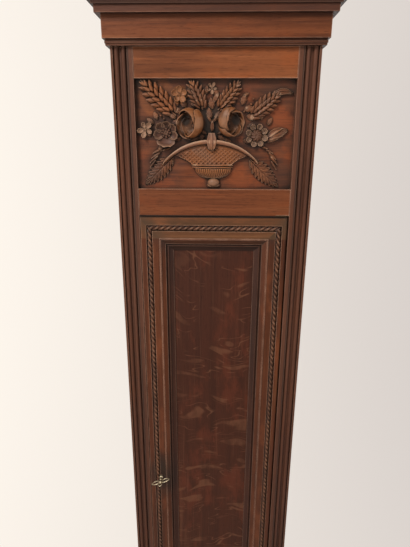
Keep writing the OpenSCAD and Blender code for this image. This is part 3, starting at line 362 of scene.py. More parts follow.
def dress_case():
    darker_low = (1.16, 0.90, 0.28, (52, 28, 24))  # darker down from there, towards the bottom
    on_trunk = around(trunk_half, trunk_front)
    on_hood = around(hood_half, hood_front)
    oak("plinth", on_hood, OAK, 1.3, hollow=0.02)
    oak("base_sides", upright, DOOR, 2.1)
    oak("base_frame", framed(hood_half, 0, 0, mitred=False, stile=0.048), OAK, 2.9)
    oak("base_panel", upright, PANEL, 3.4, rays=0.7)
    oak("base_floor seat_board hood_roof", level, PLAIN, 4.2, wear=0.4)
    oak("back_board", upright, PLAIN, 4.9, wear=0.4)
    oak("base_moulding", on_trunk, OAK, 5.3, hollow=0.02)
    oak("trunk_sides", upright, DOOR, 5.9)
    # The stiles get a painted dark line on their flat for the shade of a fine groove
    oak("trunk_stiles", upright, STILE, 6.4, patch=0.35, wax=0.6, wear=0.8, streak=0.8, tints=[darker_low],
        scribed=trunk_half - 0.0265)
    oak("hood_stiles", upright, STILE, 6.6, patch=0.35, wax=0.7, streak=0.8)
    oak("trunk_top_rail", level, RAIL, 7.1, wear=1.4)
    # Where the door meets the middle rail: a painted shadow line on both
    over_door = (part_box("trunk_middle_rail")[0].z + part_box("door_frame")[1].z) / 2
    oak("trunk_middle_rail trunk_bottom_rail", level, OAK, 8.3, wear=1.6, gap=over_door)
    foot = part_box("throat_moulding")[0].z
    # Painted shade: the fascia and the cove above it under the hood's overhang, and the hollow of the beads at
    # the foot
    painted_shade_bands = [(foot + start, foot + full, share, tone) for start, full, share, tone in (
        (0.0350, 0.0450, 0.5, (62, 46, 42)), (0.0500, 0.0525, 0.5, (40, 28, 22)),
        (0.0097, 0.0087, 0.6, (44, 28, 22)))]
    oak("throat_moulding", on_trunk, OAK, 9.1, hollow=0.03, tints=painted_shade_bands)
    door = framed(*span("door_panel_moulding"))
    key = (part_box("door_key")[0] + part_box("door_key")[1]) / 2
    by_key = [(key.x, key.z, 0.04)]
    front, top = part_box("door_panel_moulding")[0].y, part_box("door_panel_moulding")[1].z
    # The door frame a little lighter along its top rail
    lighter_top_rail = (top - 0.0009, top + 0.0001, 0.14, (146, 116, 80))
    oak("door_frame", door, DOOR, 9.8, patch=0.8, wear=1.2, stains=by_key, gap=over_door,
        tints=(darker_low, lighter_top_rail))
    # The panel moulding gets painted shade further back from its lip
    lip = front + 0.001
    oak("door_panel_moulding", door, DOOR, 10.4, patch=0.6, wear=1.5, stains=by_key, sunk=(lip, lip + 0.006),
        tints=[darker_low])
    oak("door_panel", upright, PANEL, 11.2, rays=0.6, hollow=0.02, streak=0.75, patch=0.7)
    oak("hood_base_rail", on_hood, OAK, 12.1)
    oak("hood_sides", upright, DOOR, 12.7)
    oak("hood_frieze", level, RAIL, 13.3, rays=0.5)
    oak("hood_cornice", on_hood, OAK, 13.9, hollow=0.03)
    oak("dial_mask", framed(span("hood_door_glass")[0], dial_z, 0.146), DARK, 14.4)
    oak("hood_door_frame", framed(*span("hood_door_frame")), DOOR, 15.2)
    oak("pendulum_rod", upright, RAIL, 16.1, rough=0.3)


def dress_works():
    paint("front_plate back_plate plate_pillars pendulum_cock barrel great_wheel centre_wheel third_wheel "
          "escape_wheel minute_wheel hour_wheel",
          metal("brass_works", (204, 164, 92), (126, 92, 48), scratch=(0.4, 0.1, 0.2)))
    paint("pendulum_bob weight rating_nut pulley hood_door_knob",
          metal("brass_polished", (214, 174, 98), (142, 104, 56), rough=0.2, dull=0.4))
    paint("lock_case", metal("brass_fittings", (190, 150, 84), (92, 68, 40), rough=0.36, dull=0.8))
    paint("trunk_door_pivots hood_door_pivots",
          metal("brass_blackened", (62, 50, 36), (34, 26, 20), rough=0.55, dull=0.9))
    paint("dial_plate", metal("brass_dial", (200, 160, 88), (138, 104, 56), rough=0.5, dull=0.5))
    paint("lock_bolt pallets suspension_spring pulley_block",
          metal("steel_parts", (150, 150, 152), (88, 82, 78), rough=0.3, scratch=(0, 1.5, 0)))
    paint("dial_rings", metal("brass_silvered", (214, 211, 200), (176, 168, 146), rough=0.44, dull=0.5))


def dress_glass():
    f = Finish("glass_old")
    ripple = f.noise(f.spot, (9, 9, 14))
    paint("hood_door_glass", f.set(Base_Color=(0.97, 0.985, 0.975, 1), Roughness=0.015, IOR=1.45,
                                   Transmission_Weight=1.0, Normal=f.bump(ripple, 0.1, 0.002)))


dress_case()
dress_works()
dress_glass()


# Pieces: each starts from a primitive and is shaped, then laid where it belongs
def shape(piece, rule):
    """Moves every point of the piece to where the rule puts it."""
    for vertex in piece.data.vertices:
        vertex.co = rule(*vertex.co)
    piece.data.update()


def begin(kind, rule=None, **settings):
    """A primitive on its own, its points moved by the rule if there is one."""
    bpy.ops.object.select_all(action="DESELECT")
    getattr(bpy.ops.mesh, f"primitive_{kind}_add")(**settings)
    if rule:
        shape(bpy.context.object, rule)
    return bpy.context.object


def alone(piece):
    """Selects the piece and nothing else."""
    bpy.ops.object.select_all(action="DESELECT")
    bpy.context.view_layer.objects.active = piece
    piece.select_set(True)


def in_edit(piece, *steps):
    """Runs edit-mode steps on the whole of the piece."""
    alone(piece)
    bpy.ops.object.mode_set(mode="EDIT")
    bpy.ops.mesh.select_all(action="SELECT")
    for step in steps:
        step()
    bpy.ops.object.mode_set(mode="OBJECT")


def outward():
    bpy.ops.mesh.select_all(action="SELECT")
    bpy.ops.mesh.remove_doubles(threshold=1e-7)
    bpy.ops.mesh.normals_make_consistent(inside=False)


def with_modifier(piece, kind, **settings):
    alone(piece)
    modifier = piece.modifiers.new(kind.lower(), kind)
    for name, value in settings.items():
        setattr(modifier, name, value)
    bpy.ops.object.modifier_apply(modifier=modifier.name)


def take_mesh(piece):
    """The piece's mesh alone, for laying many times."""
    mesh = piece.data
    bpy.data.objects.remove(piece)
    return mesh


def ready(kind, rule=None, **settings):
    """The mesh of a piece that needs no more than its beginning."""
    return take_mesh(begin(kind, rule, **settings))


def turned(angle, axis="Z"):
    return Matrix.Rotation(radians(angle), 4, axis)


def moved(*place):
    return Matrix.Translation(place)


def sized(x, y=None, z=None):
    return Matrix.Diagonal((x, x if y is None else y, x if z is None else z, 1))


def on_front(y, z):
    """Stands up what is drawn in millimetres, x right and y up, on a face at y, its middle at height z."""
    return moved(0, y, z) @ turned(90, "X") @ sized(MM)


def hump(value, at, wide):
    """1 where the value is at its place, falling softly to 0 on both sides."""
    return exp(-((value - at) / wide) ** 2)


def bulge(off):
    """Height of a half circle from its middle, off 0, to its ends at 1 and -1."""
    return sqrt(max(0, 1 - off * off))


class Assembly:
    """Many laid copies that become one object."""

    def __init__(self):
        self.mesh = bmesh.new()

    def lay(self, mesh, *places):
        copy = mesh.copy()
        place = Matrix.Identity(4)
        for step in places:
            place = place @ step
        copy.transform(place)
        if place.determinant() < 0:
            copy.flip_normals()
        self.mesh.from_mesh(copy)
        bpy.data.meshes.remove(copy)

    def whole(self, name="whole"):
        """All that was laid as one mesh, for laying many times."""
        mesh = bpy.data.meshes.new(name)
        self.mesh.to_mesh(mesh)
        self.mesh.free()
        return mesh

    def finish(self, name, place, material, body, slot, smooth=40.0):
        """All that was laid as one piece that rides on its body."""
        mesh = self.whole(name)
        mesh.transform(place)
        piece = bpy.data.objects.new(name, mesh)
        bpy.context.collection.objects.link(piece)
        mesh.materials.append(material)
        alone(piece)
        bpy.ops.object.shade_smooth_by_angle(angle=radians(smooth))
        bpy.ops.object.select_all(action="DESELECT")
        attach(piece, body)
        return piece


# Carving, drawn in millimetres: x to the right, y up the panel, z out of the ground
GROUND_DEEP = 0.010  # metres from the stiles' front back to the ground
SMALL_FLOWER, BIG_FLOWER, SCALLOPED_FLOWER = (-55.8, 61), (-77.4, 4.2), (67.3, 0.5)
ROSES = (-38.4, 18.2), (24.6, 20.2)


def sheet(columns, rows, rule, foot=-1.5):
    """A shaped sheet over 0..1 by 0..1 whose rim is drawn down into the ground."""
    def wall():
        bpy.ops.mesh.select_all(action="DESELECT")
        bpy.ops.mesh.select_non_manifold()
        bpy.ops.mesh.extrude_edges_move()

    piece = begin("grid", lambda x, y, z: rule(x + 0.5, y + 0.5), x_subdivisions=columns, y_subdivisions=rows,
                  size=1)
    in_edit(piece, wall)
    for vertex in piece.data.vertices:
        if vertex.select:
            vertex.co.z = foot
    in_edit(piece, lambda: bpy.ops.mesh.fill_holes(sides=0), outward)
    return take_mesh(piece)


def carved_grain():
    """One ear's grain, a plump keeled almond along x, 1 long and 1 wide, its tip lifted."""
    def rule(x, y, z):
        along = (x + 1) / 2
        slim = 1 - 0.62 * along ** 2.2
        keel = 0.34 * max(0, 1 - abs(y) * 2.4) * (1 - along * 0.5) if z > 0 else 0
        return 0.5 * x, 0.5 * y * slim, z * (1 - 0.3 * along) + keel + 0.75 * along ** 2

    return ready("uv_sphere", rule, segments=14, ring_count=10)


def carved_petal(roll=0.25, wave=0.06, narrow=0.5, cup=1.6):
    """A dished petal from 0 to 1 along x, 1 wide, its rim standing up round a low middle."""
    def rule(x, y, z):
        out = min(hypot(x, y), 1)
        around_rim = atan2(y, x)
        length = (x + 1) / 2
        wide = narrow + (1 - narrow) * sin(min(length * 1.25, 1) * pi / 2)
        lift = cup * 0.55 * out ** 2.4 * (0.25 + 0.75 * length)
        lift += roll * hump(out, 0.88, 0.1) * (0.4 + 0.6 * length)
        lift += wave * sin(5 * around_rim + 0.6) * out ** 3
        pull = 1 - 0.04 * sin(9 * around_rim) * out ** 4
        body = 0.1 * bulge(out) + 0.09
        return length * pull, 0.5 * y * wide, lift + (body if z >= 0 else -body)

    return ready("uv_sphere", rule, segments=30, ring_count=15)


def carved_leaf(long, wide, high, teeth=1, bite=0.0, veins=0.0, rim=0.0, bend=0.0, sweep=0.0, foot=-1.5,
                rows=24):
    """A leaf along x, plain or with toothed lobes that are each a little puffed, and a sunk midrib."""
    def rule(u, v):
        side = 2 * v - 1
        swell = sin(pi * min(1, u ** 0.75)) ** 0.8 if 0 < u < 1 else 0
        saw = (u * teeth - sweep) % 1
        half = max(wide / 2 * swell * (1 - bite * (1 - saw) ** 1.4), 0.25)
        x = long * u + 0.10 * long * abs(side) * swell * (0.3 + bite)
        y = half * side + bend * sin(pi * u)
        crown = high * (1 - 0.5 * abs(side) ** 2.2) * (0.45 + 0.55 * swell)
        groove = 1.7 * hump(side, 0, 0.07) * (1 - 0.7 * u)
        lobe = (u * teeth - abs(side) * sweep) % 1
        puff = veins * (sin(pi * lobe) ** 0.6 - 0.7) * min(1, 3 * abs(side))
        return x, y, crown - groove + puff + rim * hump(abs(side), 0.88, 0.1)

    return sheet(max(teeth * 9, 40) * rows // 24, rows, rule, foot)


def rose_petal(wide, size, top, flare, rim, wave, seed):
    """One lapped petal of a rose's cup, its axis along z: one side lies over, the other tucks under."""
    profile = ((0, 5, -16), (0.2, 15.5, -12), (0.42, 21, -4), (0.62, 22.3, 3), (0.8, 20.6, 9),
               (0.92, 18.8, 12.2), (1, 19.4, 13.8))

    def along(v):
        for (v0, r0, z0), (v1, r1, z1) in zip(profile, profile[1:]):
            if v <= v1:
                t = (v - v0) / (v1 - v0)
                return r0 + (r1 - r0) * t, z0 + (z1 - z0) * t
        return profile[-1][1:]

    def rule(x, y, z):
        u, v = 2 * x, y + 0.5
        radius, height = along(v * top)
        a = radians(wide / 2) * u
        high = v ** 2
        ripple = wave * sin(6 * u + seed) + 0.3 * wave * sin(15 * u + 2 * seed)
        height -= high * (rim * abs(u) ** 3 - ripple)
        radius += 2.7 * u * min(1, 3 * v) - 1.3 * abs(u) ** 4 + flare * v ** 5
        radius += high * 0.5 * wave * sin(9 * u + 3 * seed)
        return size * radius * cos(a), size * radius * sin(a), size * height

    piece = begin("grid", rule, x_subdivisions=26, y_subdivisions=18, size=1)
    with_modifier(piece, "SOLIDIFY", thickness=1.8, offset=0.0)
    return take_mesh(piece)


def carved_rose():
    """A rose as a deep open cup of lapped petals, its axis along z."""
    rose = Assembly()
    rings = ((3, 142, 1.0, 0.94, 1.2, 5.2, 0.8), (2, 96, 1.05, 0.84, 0.8, 6.0, 0.5),
             (3, 138, 0.8, 0.66, 0.6, 2.0, 0.6))
    for ring, (count, wide, size, top, flare, rim, wave) in enumerate(rings):
        for i in range(count):
            petal = rose_petal(wide, size, top, flare, rim, wave, 1.7 * i + 2.1 * ring)
            rose.lay(petal, turned(360 * (i + 0.42 * ring) / count + (20 if ring else -20)))
    heart = ready("uv_sphere", segments=20, ring_count=12)
    rose.lay(heart, moved(0, 0, -13), sized(12.5, 12.5, 4.5))
    for i in range(5):
        rose.lay(heart, turned(72 * i), moved(5.5, 0, -8.8), turned(20, "Y"), sized(2.6, 3.8, 2.2))
    return rose.whole()


def carved_button():
    """A flower's middle: a dome with a ring of beads."""
    bead = ready("ico_sphere", subdivisions=2, radius=0.25)
    button = Assembly()
    button.lay(ready("uv_sphere", segments=16, ring_count=10), sized(0.7, 0.7, 0.5))
    for i in range(8):
        button.lay(bead, turned(45 * i), moved(0.74, 0, 0.24))
    for i in range(4):
        button.lay(bead, turned(90 * i + 20), moved(0.3, 0, 0.5))
    return button.whole()


def carved_dome():
    """The ridged dome in the middle of the scalloped flower, its ridges wound like a shell."""
    def rule(x, y, z):
        out = hypot(x, y)
        ridge = 0.075 * cos(9 * atan2(y, x) + 7 * out) * min(1, out * 2)
        dimple = 0.2 * hump(out, 0, 0.2) if z > 0 else 0
        return x * (1 + ridge), y * (1 + ridge), z * 0.8 + ridge * 0.9 - dimple

    return ready("uv_sphere", rule, segments=64, ring_count=28)


def swept(path, radii, sides):
    """A round bar along a path, closed at both ends, with one radius or one for every point."""
    radii = radii if isinstance(radii, list) else [radii] * len(path)
    body = bmesh.new()
    loops = []
    across = (path[1] - path[0]).normalized().orthogonal()
    for i, (spot, radius) in enumerate(zip(path, radii)):
        ahead = (path[min(i + 1, len(path) - 1)] - path[max(i - 1, 0)]).normalized()
        across = (across - across.dot(ahead) * ahead).normalized()
        other = ahead.cross(across)
        angles = [2 * pi * k / sides for k in range(sides)]
        loops.append([body.verts.new(spot + radius * (cos(a) * across + sin(a) * other)) for a in angles])
    for low, high in zip(loops, loops[1:]):
        for k in range(sides):
            body.faces.new((low[k], low[(k + 1) % sides], high[(k + 1) % sides], high[k]))
    body.faces.new(loops[0][::-1])
    body.faces.new(loops[-1])
    bmesh.ops.recalc_face_normals(body, faces=body.faces)
    mesh = bpy.data.meshes.new("bar")
    body.to_mesh(mesh)
    body.free()
    return mesh


HANDLE_MIDDLE, HANDLE_REACH = Vector((-6, -122, 0)), 112.5


def handle_path(out_by=0.0, lift=0.0):
    """Points along the basket's handle from its left tip to its right one."""
    path = []
    for i in range(61):
        share = i / 60
        rise = sin(pi * share)
        a = radians(135.5 - 89.5 * share)
        out = HANDLE_REACH + 2.5 * rise ** 0.5 - 2.5 + out_by * rise ** 0.6
        high = 5.2 + lift + 3.4 * rise ** 0.7
        path.append(HANDLE_MIDDLE + Vector((out * cos(a), out * sin(a), high)))
    return path


def carved_handle():
    """The basket's arched handle: a thick bar, and a thin bead along its top edge."""
    swell = [0.3 + 0.7 * sin(pi * i / 60) ** 0.6 for i in range(61)]
    yield swept(handle_path(), [3.3 * s for s in swell], 14)
    yield swept(handle_path(out_by=2.2, lift=1.6), [1.2 * s for s in swell], 8)


def arch(x):
    """Height of the handle's middle line over the basket at x."""
    return HANDLE_MIDDLE.y + sqrt(max(0, (HANDLE_REACH - 0.5) ** 2 - (x - HANDLE_MIDDLE.x) ** 2))


BASKET_LEFT, BASKET_RIGHT, BAND_Y = -67.0, 58.0, -46.0


def basket_low(x):
    """The basket's hollowed lower outline, from the bands up to the handle's tips."""
    middle, flat = -4.0, 32.6
    off = abs(x - middle) - flat
    reach = (BASKET_RIGHT if x > middle else BASKET_LEFT) - middle
    return BAND_Y + 17 * (max(0, off) / (abs(reach) - flat)) ** 0.68


def carved_weave():
    """The basket's side between the handle and the bands: a plain border, then a woven lattice."""
    middle, half, pitch = (BASKET_LEFT + BASKET_RIGHT) / 2, (BASKET_RIGHT - BASKET_LEFT) / 2, 7.2

    def rule(u, v):
        off = 2 * u - 1
        x = middle + half * off
        low = basket_low(x)
        high = max(arch(x) - 1, low + 0.6)
        y = low + (high - low) * v
        border = 6.5 + 1.1 * cos(2 * pi * x / 9.0)
        inside = min(1, max(0, (high - y - border) / 1.2)) * min(1, max(0, (0.86 - abs(off)) / 0.05))
        one, two = (abs(cos(pi * (x + lean * y) / pitch)) ** 3 for lean in (1.15, -1.15))
        h = 1.6 + 4.6 * bulge(off) ** 0.6 * (0.8 + 0.2 * sin(pi * v))
        return x, y, h + inside * (1.5 * max(one, two) - 0.9) + hump(y, low + 1.0, 0.8)

    return sheet(176, 38, rule)


def carved_flutes():
    """The basket's fluted foot, below the bands."""
    def rule(u, v):
        off = 2 * u - 1
        half = 29.8 * sqrt(max(0.02, 1 - (v * 0.87) ** 2.3))
        flute = 1.5 * abs(sin(17 * pi * u)) ** 0.7 * (1 - 0.35 * v)
        h = 2.2 + 6.2 * bulge(off) * (1 - 0.45 * v * v) + flute
        return half * off - 1.9, -50.8 - 15.0 * v - 1.0 * (1 - off * off), h

    return sheet(170, 12, rule)


def carved_band(y, half, thick, proud):
    """A half-round band across the basket, following its swell."""
    offs = [i / 20 - 1 for i in range(41)]
    path = [Vector((half * off - 3.4, y - 0.7 * (1 - off * off), 2.0 + proud * bulge(off))) for off in offs]
    return swept(path, thick / 2, 10)


def lay_ear(relief, grain, root, tip, wide, rows, long=13.5, thick=6.4):
    """A full ear: lapped grains in four rows that lean outwards, the inner rows lying on the outer."""
    run = Vector(tip) - Vector(root)
    lean = degrees(atan2(run.y, run.x))
    side = Vector((-run.y, run.x)).normalized()
    for level_up, (out, splay, shift, size) in enumerate(((0.33, 36, 0.0, 1.0), (0.12, 15, 0.45, 0.86))):
        for i in range(rows):
            share = (i + 0.25 + shift) / rows
            taper = 0.62 + 0.5 * sin(pi * min(1, share * 0.95 + 0.08)) - 0.18 * share ** 3
            bulk = size * (0.72 + 0.3 * taper)
            for hand in (-1, 1):
                along = share + (0.3 / rows if hand > 0 else 0)
                at = Vector(root) + run * along + side * hand * wide * out * taper
                turn = lean + hand * (splay + dice.uniform(-6, 6))
                relief.lay(grain, moved(*at, 2.4 + 2.1 * level_up), turned(turn), turned(-hand * 12, "X"),
                           sized(long * bulk, thick * bulk, 3.0))
    relief.lay(grain, moved(*tip, 2.6), turned(lean), sized(long * 0.9, thick * 0.85, 2.8))
    path = [Vector((*root, 1.0)) + Vector((*run, 0)) * (i / 8 - 0.1) for i in range(9)]
    relief.lay(swept(path, 1.5, 8))


def lay_blossom(relief, petal, middle, at, r, start, seed, wide):
    """A small flower of five petals, its radius r, round a beaded middle."""
    for i in range(5):
        turn = start + 72 * i + 5 * sin(3.1 * i + seed)
        size = r * (1 + 0.09 * sin(2.3 * i + seed))
        relief.lay(petal, moved(*at, 1.2 + 0.45 * (i % 2)), turned(turn), turned(-14, "Y"),
                   moved(r * 0.14, 0, 0), sized(size * 0.88, size * wide, r * 0.26))
    relief.lay(middle, moved(*at, 2.4), sized(r * 0.27, r * 0.27, r * 0.3))


def relief_board():
    """The ground the carving stands on, with its edges drawn back to the board's full thickness."""
    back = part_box("carved_panel")[1].y

    def rule(u, v):
        x, y = 2 * u - 1, 2 * v - 1
        calm = min(1, 6 * (1 - abs(x))) * min(1, 6 * (1 - abs(y)))
        hollow = 0.5 * calm * (1 + sin(17 * x + 3 * y) * sin(11 * y - 4 * x))
        return carved_half / MM * x, carved_half_h / MM * y, -hollow

    return sheet(42, 28, rule, foot=-(back - trunk_front - GROUND_DEEP) / MM)


def lay_greenery(relief, grain):
    """The ears, the long leaves of the corners and the small leaves that fill the middle."""
    lay_ear(relief, grain, (-67, 35), (-112, 78), 30, 6, long=15.5, thick=8.6)
    lay_ear(relief, grain, (-21, 43), (-36, 78), 25, 5, thick=7.6)
    lay_ear(relief, grain, (8, 42), (36, 76), 23, 6, long=13, thick=7.4)
    lay_ear(relief, grain, (60, 31), (98, 59.5), 25, 6, thick=7.8)

    leaf = carved_leaf(66, 29, 4.4, teeth=9, bite=0.3, veins=1.9, sweep=1.3)
    relief.lay(leaf, moved(-67, -32, 0.2), turned(224))
    relief.lay(leaf, moved(57, -37, 0.2), turned(-42), sized(1, -1, 1))
    for x, y, turn, size in (
            (-93, -24, 205, 1), (-96, -31, 213, 1.05), (-99, -37, 222, 1.05), (-101, -44, 232, 0.9),
            (89, -24, -28, 0.8), (94, -31, -44, 1), (97, -38, -52, 1.05), (97, -46, -58, 0.95),
            (-78, -21, 200, 0.8), (80, -18, -20, 0.8)):
        relief.lay(grain, moved(x, y, 2.6), turned(turn), sized(18 * size, 5.6 * size, 3.0))
    relief.lay(carved_leaf(39, 18, 4.8, rim=1.9, bend=3.0), moved(82, -8, 1.0), turned(26))
    for x, y, turn, long in ((98, 5, 34, 25), (99, -3, 18, 22)):
        relief.lay(grain, moved(x, y, 4.6), turned(turn), sized(long, 4.2, 2.2))
    blade = carved_leaf(24, 7.5, 3.6, rim=0.9, rows=15)
    for x, y, turn, size in ((-4.2, 5, 90, 0.85), (-4.6, 20, 128, 0.62), (-3.6, 20, 52, 0.62),
                             (-12, 2, 150, 0.7), (4, 2, 30, 0.7)):
        relief.lay(blade, moved(x, y, 1.6), turned(turn), sized(size, size, 1))
    relief.lay(carved_leaf(34, 10, 4.6, rim=1.9, bend=4.4), moved(89, 60.5, 1.0), turned(3))
    small = carved_leaf(20, 12, 4.2, teeth=4, bite=0.2, veins=1.1, sweep=1.3, rows=15)
    for x, y, turn, size in (
            (-8, 24, 96, 0.95), (1, 22, 62, 0.95), (-4, 40, 100, 0.9), (14, 36, 40, 0.85),
            (-14, 42, 140, 0.8), (-26, 44, 160, 0.75), (-46, 42, 120, 0.85), (-52, 36, 165, 0.85),
            (-60, 44, 95, 0.8), (-46, 56, 60, 0.6), (46, 38, 20, 0.9), (42, 46, 70, 0.85),
            (50, 30, -10, 0.85), (56, 24, 40, 0.8), (-98, 17, 140, 0.75), (-92, 24, 110, 0.7),
            (-100, 4, 200, 0.6), (84, 16, 60, 0.7), (74, 24, 95, 0.75), (-18, 4, 250, 0.8),
            (6, 3, -60, 0.95), (14, -4, -30, 0.8), (-24, -3, 200, 0.8), (-54, -4, 190, 0.7),
            (46, -6, -20, 0.75), (-56, 22, 200, 0.8), (-62, 26, 150, 0.7), (52, 14, 10, 0.8),
            (-84, -14, 240, 0.75), (-14, 62, 80, 0.7), (4, 58, 110, 0.75), (20, 44, 80, 0.7),
            (-44, 66, 40, 0.6), (44, 60, 20, 0.5), (-2, 50, 60, 0.8), (30, 46, 100, 0.7)):
        relief.lay(small, moved(x, y, 0.2), turned(turn), sized(size, size, 0.9))
    berry = ready("ico_sphere", subdivisions=2)
    for x, y, r in ((57, 47, 2.2), (50, 41, 2.0), (46, 36, 1.8), (-61, 55, 1.7), (-30, 57, 1.8),
                    (60, 55, 1.8), (-86, 30, 1.9), (-81, 25, 1.8), (12, 62, 1.7)):
        relief.lay(berry, moved(x, y, 2.4), sized(r, r, 2.6))


def lay_flowers(relief):
    """The two open roses, the two large flowers and the small ones."""
    petal = carved_petal()
    scoop = carved_petal(roll=0.35, wave=0.02, narrow=0.6, cup=1.9)
    button = carved_button()
    lay_blossom(relief, petal, button, SMALL_FLOWER, 13.2, 92, 0.4, 0.72)
    lay_blossom(relief, petal, button, (-4.8, 70.5), 8.8, 60, 1.0, 0.5)
    lay_blossom(relief, petal, button, (-111.5, 9), 13.5, 42, 2.0, 0.6)
    for i, (turn, size, wide) in enumerate(((90, 0.9, 20), (141, 1.02, 17), (193, 1.06, 16), (35, 0.94, 17),
                                            (338, 1.02, 15), (266, 1.16, 27))):
        relief.lay(petal, moved(*BIG_FLOWER, 1.6 + 0.55 * (i % 3)), turned(turn), turned(-15, "Y"),
                   moved(2.0, 0, 0), sized(19.0 * size, wide * size, 5.0))
    relief.lay(button, moved(*BIG_FLOWER, 6.4), moved(0, -0.4, 0), sized(8.4, 8.4, 5.4))
    for i in range(8):
        relief.lay(scoop, moved(*SCALLOPED_FLOWER, 1.2 + 0.3 * (i % 2)), turned(45 * i + 27),
                   moved(7.6, 0, 0), turned(-16, "Y"), sized(12.0, 9.6, 3.8))
    relief.lay(carved_dome(), moved(*SCALLOPED_FLOWER, 3.2), moved(0, -0.2, 0), sized(9.6, 9.6, 6.2))
    rose = carved_rose()
    for hand, at, size, turn in ((-1, ROSES[0], 1.0, 90), (1, ROSES[1], 0.93, 78)):
        relief.lay(rose, moved(*at, 6.6), sized(1, 1, 0.6), turned(hand * 44, "Y"), turned(5, "X"),
                   turned(turn), sized(-hand * size, size, size))


def carved_tongue():
    """The broad leaf over the handle: narrow where it starts, then wide with two hollows and a blunt tip."""
    def rule(u, v):
        side = 2 * v - 1
        out = abs(side)
        half = max(0.3, 8.8 * (1 - 0.45 * (1 - u) ** 3) * (1 - u ** 3.2) ** 0.6)
        rise = 3.6 * (1 - 0.6 * out ** 3) * sin(pi * (0.12 + 0.8 * u)) ** 0.7
        rise += 1.5 * hump(out, 0.86, 0.14) + 1.2 * hump(side, 0, 0.16)
        return 27 * u, half * side, rise - 1.1 * hump(out, 0.45, 0.16) * sin(pi * u)

    return sheet(60, 36, rule, foot=-7)


def lay_basket(relief):
    """The woven basket, its bands, fluted foot, knob and handle, and the leaf that hangs over the handle."""
    relief.lay(carved_weave())
    relief.lay(carved_flutes())
    relief.lay(carved_band(-45.6, 33.2, 2.3, 6.6))
    relief.lay(carved_band(-49.0, 32.4, 2.3, 6.4))
    for run in carved_handle():
        relief.lay(run)
    knob = ready("uv_sphere", segments=24, ring_count=14)
    relief.lay(knob, moved(-1.2, -73.6, 2.4), sized(10.2, 7.6, 7.4))
    relief.lay(knob, moved(-1.2, -78.4, 1.8), sized(11.4, 4.6, 3.6))
    relief.lay(carved_tongue(), moved(-4.6, 4.0, 9.6), turned(-90))


def make_relief():
    relief = Assembly()
    relief.lay(relief_board())
    lay_greenery(relief, carved_grain())
    lay_flowers(relief)
    lay_basket(relief)
    place = on_front(trunk_front + GROUND_DEEP, carved_z)
    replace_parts(relief.finish("flower_basket_carving", place, carved_wood(), "case", "carved_oak", smooth=50),
                "carved_panel")


